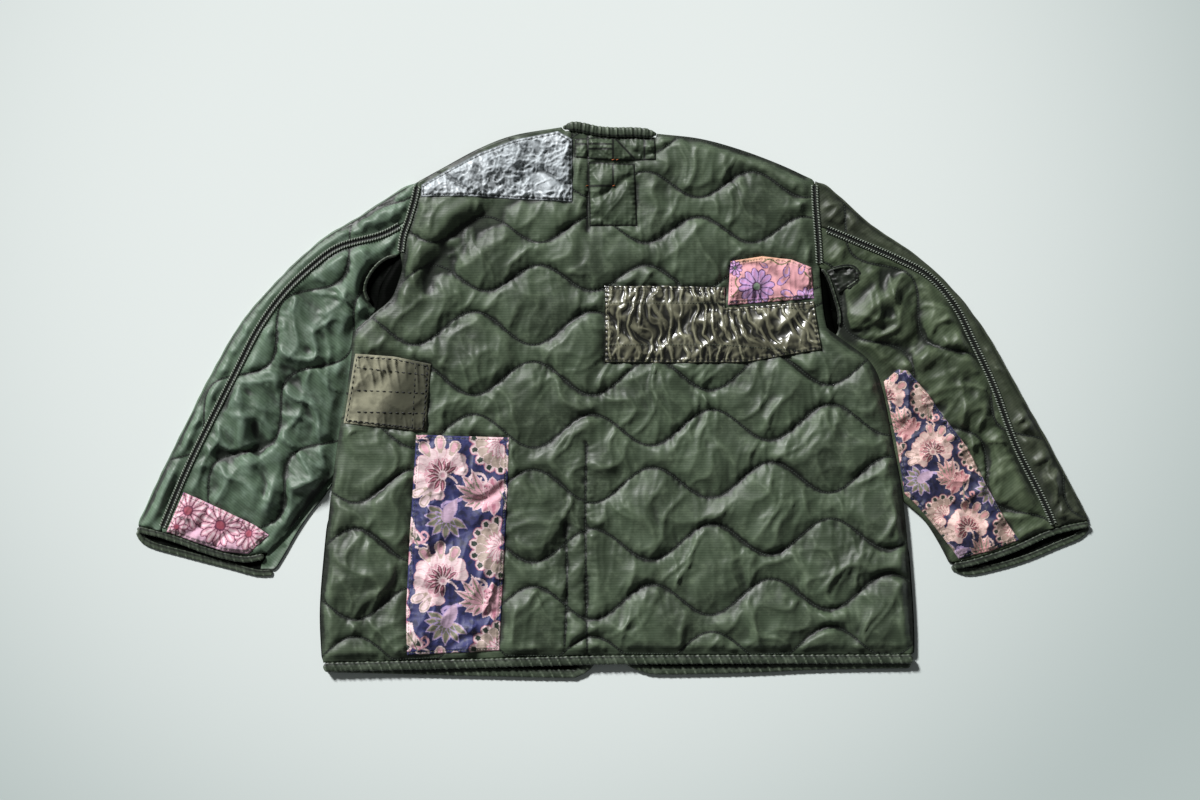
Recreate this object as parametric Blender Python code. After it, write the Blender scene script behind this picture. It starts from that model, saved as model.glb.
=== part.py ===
# A quilted liner jacket mended with sewn-on patches, laid flat on its fronts with its back up.
# Plan points are in millimetres: X to the right, Y towards the neck. Z rises from the surface
# it lies on. Blender gets metres. The origin is under the middle of the whole jacket.

import math

import bmesh
import bpy
import numpy as np
from mathutils import Vector, geometry

METRES = 0.001

# Heights of the layers above the surface.
FRONT_TOP = 5.0
BACK_UNDER = 5.3
SLEEVE_FLOOR_TOP = 2.4
SLEEVE_UNDER = 2.7
SEAM_LEVEL = 8.0
EDGE_LEVEL = 6.6
TUCK_TOP = 4.8
NECK_BINDING_TOP = 10.0
HEM_BINDING_TOP = 10.2
CUFF_BINDING_TOP = 7.4

# Quilting: how high the padding swells between two rows, and how wide a row's valley is.
BODY_STITCH_LEVEL = 8.2
BODY_PUFF = 6.5
SLEEVE_STITCH_LEVEL = 6.8
SLEEVE_PUFF = 6.0
VALLEY_HALF = 7.0

# Rows of quilting on the back: the height of each row's middle, neck to hem.
BODY_ROWS = (309, 258, 204, 146, 86, 26, -37, -103, -174, -243, -303)
UPPER_ROWS = 4
UPPER_WAVE, UPPER_SWING = 127.0, 15.5
LOWER_WAVE, LOWER_SWING = 142.0, 20.0
WAVE_CREST_X = -24.6
LOWER_ROW_RISE = 0.045

# Rows on the sleeves run down and outwards from the armhole.
SLEEVE_ROW_START = (326.4, 179.8)
SLEEVE_ROW_RUN = (0.65, -0.76)
SLEEVE_ROW_PITCH = 64.0
SLEEVE_WAVE, SLEEVE_SWING = 134.0, 18.0

# Trim and cloth.
BINDING_HALF = 5.5
CUFF_BINDING_HALF = 4.0
SLEEVE_FOLD_HALF = 2.6
SLEEVE_FOLD_INSET = 4.0
TAPE_HALF = 4.2
TAPE_THICK = 1.4
PATCH_THICK = 1.2
FLAP_THICK = 3.0
SEAM_GAP = 0.3
HALF_GAP = 0.22
OUTLINE_STEP = 15.0
ROW_STEP = 13.5
FILL_STEP = 24.0
CROWDED = 3.0
EDGE_RING = 6.0
SEAM_RING = 7.5
EDGE_ROUND = 13.0

# Named corners where panels meet.
SHOULDER_LEFT, SHOULDER_RIGHT = (-233.5, 261.5), (241.0, 263.0)
NECK_LEFT, NECK_RIGHT = (-60.0, 327.0), (52.0, 319.0)
TAPE_START_LEFT, TAPE_START_RIGHT = (-245.0, 215.0), (244.0, 209.0)
VENT_TOP_LEFT, VENT_TOP_RIGHT = (-254.5, 174.0), (247.0, 160.0)
VENT_FOOT_LEFT, VENT_FOOT_RIGHT = (-273.0, 114.0), (256.0, 86.0)
VENT_SLEEVE_LEFT, VENT_SLEEVE_RIGHT = (-289.0, 113.0), (270.0, 83.0)
UNDER_START_LEFT, UNDER_START_RIGHT = (-283.0, 108.0), (266.0, 78.0)
CUFF_SEAM_LEFT, CUFF_SEAM_RIGHT = (-543.0, -161.0), (531.0, -157.0)
CUFF_TIP_LEFT, CUFF_TIP_RIGHT = (-571.0, -154.0), (571.0, -148.5)
TUCK_END_LEFT, TUCK_END_RIGHT = (-322.0, -78.0), (338.0, -112.0)
HEM_LEFT, HEM_RIGHT = (-347.0, -320.0), (359.5, -310.0)


def curve(points, step=OUTLINE_STEP):
    """Even points along a smooth curve through the given ones, first and last included."""
    given = np.array(points, float)
    padded = np.vstack([2 * given[0] - given[1], given, 2 * given[-1] - given[-2]])
    fine = [given[0]]
    for i in range(len(given) - 1):
        a, b, c, d = padded[i : i + 4]
        for t in np.linspace(0, 1, 13)[1:]:
            bend, twist = 2 * a - 5 * b + 4 * c - d, 3 * b - a - 3 * c + d
            fine.append(0.5 * (2 * b + (c - a) * t + bend * t**2 + twist * t**3))
    return even(np.array(fine), step)


def even(line, step):
    """The same line with its points a step apart."""
    runs = np.r_[0, np.cumsum(np.linalg.norm(np.diff(line, axis=0), axis=1))]
    marks = np.linspace(0, runs[-1], max(2, round(runs[-1] / step) + 1))
    return np.column_stack([np.interp(marks, runs, line[:, k]) for k in (0, 1)])


def loop(*lines):
    """One closed outline from lines that follow each other, counter-clockwise, shared ends once."""
    points = []
    for line in lines:
        for p in line:
            if not points or np.hypot(*(p - points[-1])) > 0.5:
                points.append(p)
    if np.hypot(*(points[0] - points[-1])) <= 0.5:
        points.pop()
    outline = np.array(points)
    x, y = outline.T
    area = np.sum(x * np.roll(y, -1) - np.roll(x, -1) * y)
    return outline if area > 0 else outline[::-1]


def side_of(line, distance, closed=False):
    """The line moved sideways, to its left for a positive distance."""
    if closed:
        before, after = np.roll(line, 1, axis=0), np.roll(line, -1, axis=0)
    else:
        before, after = np.vstack([line[0], line[:-1]]), np.vstack([line[1:], line[-1]])
    into, out = line - before, after - line
    into[np.hypot(*into.T) < 1e-9] = out[np.hypot(*into.T) < 1e-9]
    out[np.hypot(*out.T) < 1e-9] = into[np.hypot(*out.T) < 1e-9]
    into /= np.hypot(*into.T)[:, None]
    out /= np.hypot(*out.T)[:, None]
    mean = into + out
    mean /= np.hypot(*mean.T)[:, None]
    stretch = 1 / np.clip(np.sum(mean * out, axis=1), 0.5, 1)
    return line + np.column_stack([-mean[:, 1], mean[:, 0]]) * (distance * stretch)[:, None]


def gap_to(points, line, closed=False):
    """Each point's distance to a line."""
    points = np.atleast_2d(points)
    ends = np.vstack([line, line[:1]]) if closed else line
    start, run = ends[:-1], np.diff(ends, axis=0)
    best = np.full(len(points), 1e9)
    for s, r in zip(start, run):
        share = np.clip(((points - s) @ r) / max(r @ r, 1e-12), 0, 1)
        best = np.minimum(best, np.hypot(*(points - s - share[:, None] * r).T))
    return best


def gap_to_any(points, lines):
    return np.min([gap_to(points, line) for line in lines], axis=0)


def within(points, outline):
    """Which points lie inside a closed outline."""
    x, y = np.atleast_2d(points).T
    inside = np.zeros(len(x), bool)
    for (x0, y0), (x1, y1) in zip(outline, np.roll(outline, -1, axis=0)):
        if y0 != y1:
            inside ^= ((y0 > y) != (y1 > y)) & (x < (x1 - x0) * (y - y0) / (y1 - y0) + x0)
    return inside


def ease(x):
    """0 below 0, 1 above 1, and smooth between."""
    x = np.clip(x, 0, 1)
    return x * x * (3 - 2 * x)


# The shared lines of the plan, left then right, each from the shoulder or armhole outwards.
SHOULDER_LINE = {
    "left": curve([NECK_LEFT, (-119, 317), (-161, 301), (-202, 279), SHOULDER_LEFT]),
    "right": curve([NECK_RIGHT, (104, 313), (152, 300), (200, 282), SHOULDER_RIGHT]),
}
ARMHOLE_UPPER = {
    "left": curve([SHOULDER_LEFT, (-238, 239), TAPE_START_LEFT]),
    "right": curve([SHOULDER_RIGHT, (242, 235), TAPE_START_RIGHT]),
}
ARMHOLE_LOWER = {
    "left": curve([TAPE_START_LEFT, (-251.5, 196), VENT_TOP_LEFT]),
    "right": curve([TAPE_START_RIGHT, (246, 182), VENT_TOP_RIGHT]),
}
VENT_BODY = {
    "left": curve([VENT_TOP_LEFT, (-252.5, 158), (-257, 142), (-264, 124), VENT_FOOT_LEFT]),
    "right": curve([VENT_TOP_RIGHT, (249.5, 132), (252, 106), VENT_FOOT_RIGHT]),
}
VENT_SLEEVE = {
    "left": curve([VENT_TOP_LEFT, (-271, 170), (-285, 159), (-295, 143), (-297, 129), VENT_SLEEVE_LEFT]),
    "right": curve([VENT_TOP_RIGHT, (257, 148), (266, 122), (271, 102), VENT_SLEEVE_RIGHT]),
}
VENT_MIDDLE = {
    "left": curve([VENT_TOP_LEFT, (-272, 148), (-280, 128), UNDER_START_LEFT]),
    "right": curve([VENT_TOP_RIGHT, (257, 130), (261, 102), UNDER_START_RIGHT]),
}
BODY_SIDE = {
    "left": curve([VENT_FOOT_LEFT, (-292, 99), (-311, 80), (-313, 56), (-319, 12), (-327, -32),
                   (-335, -89), (-345, -183), (-350, -250), (-348.5, -300), (-347, -314)]),
    "right": curve([VENT_FOOT_RIGHT, (278, 70), (308, 46), (322, 12), (334, -48), (347, -118),
                    (354, -187), (359, -260), (360, -304)]),
}
UNDER_LINE = {
    "left": curve([UNDER_START_LEFT, (-297, 88), (-301, 60), (-307, 12), (-315, -32), TUCK_END_LEFT]),
    "right": curve([UNDER_START_RIGHT, (284, 55), (297, 36), (310, 8), (322, -50), (329, -90), TUCK_END_RIGHT]),
}
SLEEVE_OUTER = {
    "left": curve([SHOULDER_LEFT, (-260, 248), (-302, 220), (-352, 189), (-401, 143), (-445, 92),
                   (-482, 28), (-515, -37), (-545, -98), CUFF_TIP_LEFT]),
    "right": curve([SHOULDER_RIGHT, (262, 251), (309, 209), (362, 173), (405, 134), (447, 79),
                    (488, 7), (526, -61), (562, -129), CUFF_TIP_RIGHT]),
}
SLEEVE_SEAM = {
    "left": curve([TAPE_START_LEFT, (-277, 198), (-327, 184), (-361, 160), (-395, 127), (-425, 85),
                   (-452, 33), (-507, -76), CUFF_SEAM_LEFT]),
    "right": curve([TAPE_START_RIGHT, (270, 199), (341, 169), (380, 147), (410, 112), (432, 68),
                    (456, 16), (482, -54), (514, -118), CUFF_SEAM_RIGHT]),
}
CUFF_OUTER = {
    "left": curve([CUFF_TIP_LEFT, (-557, -158), CUFF_SEAM_LEFT]),
    "right": curve([CUFF_TIP_RIGHT, (550, -152.5), CUFF_SEAM_RIGHT]),
}
CUFF_INNER = {
    "left": curve([CUFF_SEAM_LEFT, (-516, -170), (-492, -179), (-465, -187), (-440, -191), (-417, -187)]),
    "right": curve([CUFF_SEAM_RIGHT, (513, -164), (487, -176), (460, -186), (426, -196), (407, -199)]),
}
SLEEVE_INNER = {
    "left": curve([TUCK_END_LEFT, (-344, -101), (-369, -133), (-394, -164), (-417, -187)]),
    "right": curve([TUCK_END_RIGHT, (351, -124), (373, -144), (391, -172), (407, -199)]),
}
LOWER_INNER = {
    "left": curve([TUCK_END_LEFT, (-347, -117), (-361, -133), (-378, -158), (-394, -186), (-407, -207)]),
    "right": curve([TUCK_END_RIGHT, (351, -124.5), (373, -144.5), (391, -172.5), (405, -199.5)]),
}
LOWER_CUFF = {
    "left": curve([CUFF_TIP_LEFT, (-559, -171), (-512, -185), (-462, -198), (-428, -207), (-407, -207)]),
    "right": curve([CUFF_TIP_RIGHT, (560, -162), (530, -175), (495, -189.5), (460, -200), (426, -206.5),
                    (405, -199.5)]),
}
NECK_LINE = curve([NECK_LEFT, (-46, 328.5), (-31, 326), (-18, 323), (2, 321.5), (26, 321.5), NECK_RIGHT])
BACK_HEM = curve([HEM_LEFT, (-220, -317), (-37, -312), (44, -311), (200, -310.5), HEM_RIGHT])
FRONT_HEM = {
    "left": curve([(-346.5, -321), (-220, -324.5), (-64, -328), (-42, -326), (-29, -317), (-23, -303)]),
    "right": curve([(358, -316.5), (245, -318.5), (167, -322), (62, -324), (36, -321), (20, -313), (13, -299)]),
}
FRONT_EDGE = {
    "left": curve([(-23, -303), (-14, -262), (-10, -200), (-10, 0), (-10, 110), (-24, 165), (-66, 312)]),
    "right": curve([(13, -299), (6, -262), (3, -200), (3, 0), (3, 110), (17, 165), (56, 305)]),
}
SIDES = ("left", "right")


def body_row(index):
    """One row of quilting across the back: a wave, each row half a wave on from the last."""
    upper = index < UPPER_ROWS
    wave, swing = (UPPER_WAVE, UPPER_SWING) if upper else (LOWER_WAVE, LOWER_SWING)
    crest = WAVE_CREST_X + (wave / 2 if index % 2 else 0)
    x = np.arange(-372.0, 373.0, ROW_STEP)
    rise = 0 if upper else LOWER_ROW_RISE * np.maximum(0, x + 10)
    return np.column_stack([x, BODY_ROWS[index] + rise + swing * np.cos(2 * np.pi * (x - crest) / wave)])


def sleeve_row(side, index):
    """One row of quilting along a sleeve."""
    hand = -1 if side == "left" else 1
    first, crests = {"left": (6.0, (24.0, 91.0)), "right": (15.6, (111.6, 44.6))}[side]
    start = np.array([hand * SLEEVE_ROW_START[0], SLEEVE_ROW_START[1]])
    run = np.array([hand * SLEEVE_ROW_RUN[0], SLEEVE_ROW_RUN[1]])
    across = np.array([-hand * -SLEEVE_ROW_RUN[1], -SLEEVE_ROW_RUN[0]])
    t = np.arange(-150.0, 480.0, ROW_STEP)
    s = first + SLEEVE_ROW_PITCH * index
    s = s + SLEEVE_SWING * np.cos(2 * np.pi * (t - crests[index % 2]) / SLEEVE_WAVE)
    return start + t[:, None] * run + s[:, None] * across


BODY_QUILTING = [body_row(i) for i in range(len(BODY_ROWS))]
SLEEVE_QUILTING = {side: [sleeve_row(side, i) for i in range(-2, 4)] for side in SIDES}

# The largest folds: a line, its height and its half width. A negative height is a valley.
BODY_FOLDS = [
    (curve([(-176, 246), (-212, 216), (-238, 165), (-252, 122)]), 6.0, 17.0),
    (curve([(-122, 238), (-165, 205), (-195, 160), (-214, 108)]), -4.0, 16.0),
    (curve([(-128, 206), (-150, 160), (-168, 128)]), 3.0, 24.0),
    (curve([(272, 60), (292, 20), (300, -40)]), 2.5, 16.0),
    (curve([(100, -296), (140, -262), (176, -246)]), 2.5, 14.0),
    (curve([(300, -290), (330, -262)]), 2.5, 14.0),
]
SLEEVE_FOLDS = {
    "left": [
        (curve([(-455, 20), (-440, -40), (-430, -104)]), 5.0, 13.0),
        (curve([(-441, 22), (-426, -40), (-417, -108)]), -3.5, 9.0),
        (curve([(-372, 130), (-352, 96), (-334, 66)]), -4.0, 12.0),
        (curve([(-398, 82), (-370, 48), (-330, 40)]), 5.0, 20.0),
        (curve([(-420, -122), (-380, -96), (-350, -80)]), 4.0, 14.0),
        (curve([(-318, 172), (-306, 140), (-300, 112)]), 4.5, 14.0),
    ],
    "right": [
        (curve([(290, 98), (325, 120), (352, 148)]), 7.0, 12.0),
        (curve([(290, 118), (312, 138), (330, 152)]), -4.0, 10.0),
        (curve([(322, 34), (345, 60), (372, 78)]), -4.5, 13.0),
        (curve([(372, 48), (412, 70), (436, 62)]), 6.0, 13.0),
        (curve([(392, 20), (420, -10), (436, -40)]), 4.0, 16.0),
        (curve([(470, -60), (486, -100), (496, -130)]), 3.5, 13.0),
    ],
}


def patch_outline(corners):
    """A patch's outline with points close enough to follow what it lies on."""
    sides = zip(corners, corners[1:] + corners[:1])
    return loop(*[even(np.array([a, b], float), 14.0) for a, b in sides])


# The patches on the back, by their corners.
BACK_PATCHES = {
    "patch_silver": [(-229.5, 257.5), (-202, 273.5), (-161, 295.5), (-119, 311.5), (-66, 322),
                     (-48.5, 312), (-48.5, 236.5), (-112, 240), (-168, 243.5), (-230, 243)],
    "patch_tan": [(-308.5, 55.5), (-262, 52), (-217.5, 43), (-223.5, -36.5), (-238, -37.5), (-322.5, -28)],
    "patch_brocade": [(-235.5, -41.5), (-124.5, -45), (-126, -105), (-129.5, -178), (-136, -300),
                      (-246.5, -305.5), (-247.5, -250), (-244, -175)],
    "patch_floral": [(140.5, 166), (178.5, 172), (214, 168), (237.5, 158.5), (240.5, 121.5), (137.5, 113.5)],
    "patch_shiny": [(-10, 137), (60, 137), (134.5, 135.5), (134.5, 110.5), (240.5, 118.5), (250, 60),
                    (158, 44.5), (96, 44), (-10, 44.5)],
    "neck_facing": [(-45.5, 312.5), (-18, 315), (2, 314), (26, 314), (50.5, 312.5), (51.5, 287.5), (2, 286),
                    (-46.5, 290.5)],
    "neck_tab": [(-30, 285), (26, 282.5), (29, 208.5), (-28, 208.5)],
}
LEFT_CUFF_PATCH = [(-514, -110.5), (-466, -132), (-428, -150.5), (-412, -162), (-437, -184.5), (-466, -181.5),
                   (-500, -170.5), (-534.5, -158)]
VENT_FLAP = [(256, 154), (264, 158.5), (287, 160), (295, 152), (293, 142), (270, 127), (264.5, 139)]
RIGHT_SLEEVE_PATCH = [(324.5, 22), (341, 36.5), (353, 35), (378, 6), (396, -20), (423.5, -56), (448, -104),
                      (470, -144), (486, -167.5), (452, -181), (414, -190), (381, -146), (363, -125),
                      (349.5, -112.5), (339, -48)]


def relief(points, quilting, folds, stitch_level, puff):
    """How high quilted cloth stands: low on its stitching, swollen between, with its folds."""
    swell = 1 - np.exp(-gap_to_any(points, quilting) / (1.2 * VALLEY_HALF))
    height = stitch_level + puff * swell
    for line, rise, half in folds:
        height = height + rise * np.exp(-((gap_to(points, line) / half) ** 2))
    return height


def back_height(points):
    height = relief(points, BODY_QUILTING, BODY_FOLDS, BODY_STITCH_LEVEL, BODY_PUFF)
    free = [SHOULDER_LINE[s] for s in SIDES] + [BODY_SIDE[s] for s in SIDES] + [VENT_BODY[s] for s in SIDES]
    free += [side_of(NECK_LINE, -BINDING_HALF), side_of(BACK_HEM, BINDING_HALF)]
    height = EDGE_LEVEL + (height - EDGE_LEVEL) * ease(gap_to_any(points, free) / EDGE_ROUND)
    return at_seams(points, height, [ARMHOLE_UPPER[s] for s in SIDES] + [ARMHOLE_LOWER[s] for s in SIDES])


def at_seams(points, height, seams):
    """Flattens the cloth to one level where a seam's tape lies on it."""
    away = ease((gap_to_any(points, seams) - SEAM_RING - 0.5) / EDGE_ROUND)
    return SEAM_LEVEL + (np.maximum(height, BACK_UNDER + 1) - SEAM_LEVEL) * away


def sleeve_height(side):
    """The height of a sleeve's upper cloth: its outer fold, its seam and its tuck under the body."""
    free = [SLEEVE_OUTER[side], CUFF_OUTER[side], CUFF_INNER[side], SLEEVE_INNER[side], VENT_SLEEVE[side]]

    def height(points):
        z = relief(points, SLEEVE_QUILTING[side], SLEEVE_FOLDS[side], SLEEVE_STITCH_LEVEL, SLEEVE_PUFF)
        low = SLEEVE_UNDER + 2.2
        z = low + (z - low) * ease(gap_to_any(points, free) / EDGE_ROUND)
        z = at_seams(points, z, [SLEEVE_SEAM[side], ARMHOLE_UPPER[side], ARMHOLE_LOWER[side]])
        reach = gap_to(points, BODY_SIDE[side]) * np.where(within(points, BACK_OUTLINE), -1, 1)
        return TUCK_TOP + (np.maximum(z, TUCK_TOP) - TUCK_TOP) * ease((reach - 2.0) / 14.0)

    return height


def flat_height(level):
    return lambda points: np.full(len(points), level)


def triangulate(outline, cuts, fill_step, ring):
    """A plan of triangles inside an outline, with edges along every cut line.

    Each cut is a line, the distance it keeps from the outline, and whether it is a patch's edge.
    A line that runs close beside a patch's edge gives way to it.
    """
    points, edges = list(outline), [(i, (i + 1) % len(outline)) for i in range(len(outline))]
    sewn_edges = [line for line, _, sewn in cuts if sewn]
    for line, margin, sewn in cuts:
        keep = within(line, outline) & (gap_to(line, outline, closed=True) > margin)
        crowded = np.zeros(len(line), bool)
        if sewn_edges and not sewn:
            crowded = gap_to_any(line, sewn_edges) < CROWDED
        last, missed = None, 0
        for p, kept, skipped in zip(line, keep, crowded):
            missed = missed + 1 if skipped else 0
            if kept and missed == 1:
                continue
            kept = kept and not skipped
            if kept:
                points.append(p)
                if last is not None:
                    edges.append((last, len(points) - 1))
            last = len(points) - 1 if kept else None
    if ring:
        inner = side_of(outline, ring, closed=True)
        fits = within(inner, outline) & (gap_to(inner, outline, closed=True) > 0.8 * ring)
        clear = gap_to_any(inner, [cut[0] for cut in cuts]) > 0.6 * ring if cuts else fits
        points += list(inner[fits & clear])
    if fill_step:
        low, high = outline.min(axis=0), outline.max(axis=0)
        rows = np.arange(low[1], high[1], fill_step * 0.87)
        grid = np.array([(x + (fill_step / 2 if j % 2 else 0), y)
                         for j, y in enumerate(rows) for x in np.arange(low[0], high[0], fill_step)])
        grid = grid[within(grid, outline)]
        taken = np.array(points)
        room = np.array([np.min(np.hypot(*(taken - p).T)) for p in grid])
        clear = room > 0.62 * fill_step
        for line, _, _ in cuts:
            clear &= gap_to(grid, line) > 0.4 * fill_step
        points += list(grid[clear & (gap_to(grid, outline, closed=True) > 0.5 * fill_step)])
    plan = geometry.delaunay_2d_cdt([Vector(p) for p in points], edges, [list(range(len(outline)))], 1, 0.02)
    return np.array([tuple(v) for v in plan[0]]), [tuple(f) for f in plan[2]]


def rim_of(faces):
    """The ordered rim of a set of triangles."""
    follows = {}
    used = {(a, b) for f in faces for a, b in zip(f, f[1:] + f[:1])}
    for a, b in used:
        if (b, a) not in used:
            follows[a] = b
    rim = [min(follows)]
    while follows[rim[-1]] != rim[0]:
        rim.append(follows[rim[-1]])
    return rim


def finish(name, points, faces, look):
    """A named object from points in millimetres and its faces."""
    mesh = bpy.data.meshes.new(name)
    mesh.from_pydata([tuple(float(v) * METRES for v in p) for p in points], [], faces)
    mesh.shade_smooth()
    mesh.set_sharp_from_angle(angle=math.radians(40))
    mesh.materials.append(look)
    mesh.validate()
    thing = bpy.data.objects.new(name, mesh)
    bpy.context.scene.collection.objects.link(thing)
    return thing


def panel(name, outline, under, height, look, cuts=(), fill_step=FILL_STEP, ring=EDGE_RING):
    """A cloth panel with a plain underside at one level and a worked upper side."""
    outline = side_of(outline, HALF_GAP, closed=True)
    plan, faces = triangulate(outline, cuts, fill_step, ring)
    z = np.maximum(height(plan), under + 1.0)
    rim = rim_of(faces)
    points = [(*p, h) for p, h in zip(plan, z)] + [(*plan[i], under) for i in rim]
    foot = {i: len(plan) + k for k, i in enumerate(rim)}
    walls = [(b, a, foot[a], foot[b]) for a, b in zip(rim, rim[1:] + rim[:1])]
    base = [foot[i] for i in reversed(rim)]
    finish(name, points, faces + walls + [base], look)
    return plan, faces, z


def patch(name, outline, on, look, thick):
    """A patch made from the points of the panel it lies on, moved out."""
    plan, faces, z = on
    centres = np.array([np.mean([plan[i] for i in f], axis=0) for f in faces])
    chosen = [f for f, inside in zip(faces, within(centres, outline)) if inside]
    used = sorted({i for f in chosen for i in f})
    index = {i: k for k, i in enumerate(used)}
    chosen = [tuple(index[i] for i in f) for f in chosen]
    plan, z = plan[used], z[used]
    count = len(used)
    points = [(*p, h + SEAM_GAP + thick) for p, h in zip(plan, z)]
    points += [(*p, h + SEAM_GAP) for p, h in zip(plan, z)]
    rim = rim_of(chosen)
    walls = [(b, a, count + a, count + b) for a, b in zip(rim, rim[1:] + rim[:1])]
    under = [tuple(count + i for i in reversed(f)) for f in chosen]
    finish(name, points, chosen + walls + under, look)


def strip(name, line, half, under, top, look):
    """A strip of cloth folded flat along a line, with soft upper edges."""
    height = top - under
    section = [(-half, under), (half, under), (half, under + 0.45 * height), (0.62 * half, top),
               (-0.62 * half, top), (-half, under + 0.45 * height)]
    points = [(*p, z) for s, z in section for p in side_of(line, -s)]
    count, sides = len(line), len(section)
    faces = []
    for k in range(sides):
        a, b = k * count, (k + 1) % sides * count
        faces += [(a + i, b + i, b + i + 1, a + i + 1) for i in range(count - 1)]
    faces.append(tuple(k * count for k in reversed(range(sides))))
    faces.append(tuple(k * count + count - 1 for k in range(sides)))
    faces = [tuple(reversed(f)) for f in faces]
    finish(name, points, faces, look)


def trimmed(line, start, end):
    """A line with some of its length cut off each end, and its other points left where they are."""
    runs = np.r_[0, np.cumsum(np.linalg.norm(np.diff(line, axis=0), axis=1))]
    ends = [np.array([np.interp(mark, runs, line[:, k]) for k in (0, 1)]) for mark in (start, runs[-1] - end)]
    kept = line[(runs > start + 1) & (runs < runs[-1] - end - 1)]
    return np.vstack([ends[0], kept, ends[1]])


def join(base, *others):
    """Joins solids into one with Boolean unions and removes the ones used up."""
    for other in others:
        union = base.modifiers.new("join_" + other.name, "BOOLEAN")
        union.operation = "UNION"
        union.solver = "EXACT"
        union.object = other
    bpy.context.view_layer.update()
    joined = bpy.data.meshes.new_from_object(base.evaluated_get(bpy.context.evaluated_depsgraph_get()))
    base.modifiers.clear()
    base.data = joined
    for other in others:
        bpy.data.objects.remove(other)


def cloth(name, colour, roughness, metallic=0.0):
    """A plain material in a colour given from 0 to 1."""
    look = bpy.data.materials.new(name)
    look.use_nodes = True
    shader = look.node_tree.nodes["Principled BSDF"]
    shader.inputs["Base Color"].default_value = (*colour, 1)
    shader.inputs["Roughness"].default_value = roughness
    shader.inputs["Metallic"].default_value = metallic
    look.diffuse_color = (*colour, 1)
    return look


BACK_OUTLINE = loop(
    side_of(BACK_HEM, BINDING_HALF),
    BODY_SIDE["right"][::-1], VENT_BODY["right"][::-1], ARMHOLE_LOWER["right"][::-1],
    ARMHOLE_UPPER["right"][::-1], SHOULDER_LINE["right"][::-1],
    side_of(NECK_LINE, -BINDING_HALF)[::-1], SHOULDER_LINE["left"],
    ARMHOLE_UPPER["left"], ARMHOLE_LOWER["left"], VENT_BODY["left"], BODY_SIDE["left"],
)


def seam_rings(seams, distance=SEAM_RING):
    """Lines beside each seam that bound the flat cloth its tape lies on."""
    return [(side_of(seam, way * distance), 2.0, False) for seam in seams for way in (1, -1)]


def stitching(rows):
    """Each row of quilting, with a line on either side where the padding swells."""
    return [(side_of(row, aside), 4.0, False) for row in rows for aside in (0, VALLEY_HALF, -VALLEY_HALF)]


def sewn_edge(outline):
    """A patch's outline as a cut."""
    return (np.vstack([outline, outline[:1]]), 0.8, True)


def make_back(green, looks):
    outlines = {name: patch_outline(corners) for name, corners in BACK_PATCHES.items()}
    cuts = [sewn_edge(outline) for outline in outlines.values()] + stitching(BODY_QUILTING)
    cuts += seam_rings([np.vstack([ARMHOLE_UPPER[s], ARMHOLE_LOWER[s][1:]]) for s in SIDES])
    back = panel("back_panel", BACK_OUTLINE, BACK_UNDER, back_height, green, cuts)
    for name, outline in outlines.items():
        patch(name, outline, back, looks[name], PATCH_THICK)


def make_front(side, green):
    """A front, face down: its shoulder, armhole, side, hem and bound front edge."""
    turn = -1 if side == "left" else 1
    armhole = [ARMHOLE_UPPER[side], ARMHOLE_LOWER[side], VENT_MIDDLE[side], UNDER_LINE[side]]
    lower_side = BODY_SIDE[side][BODY_SIDE[side][:, 1] < TUCK_END_LEFT[1] - 70]
    hem = side_of(FRONT_HEM[side], -turn * BINDING_HALF)
    edge = side_of(FRONT_EDGE[side], -turn * BINDING_HALF)
    outline = loop(SHOULDER_LINE[side][2:], *armhole, side_of(lower_side, turn * 1.5), hem[1:-1], edge[1:-1])
    panel("front_" + side, outline, 0.0, flat_height(FRONT_TOP), green, fill_step=0, ring=0)


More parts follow.
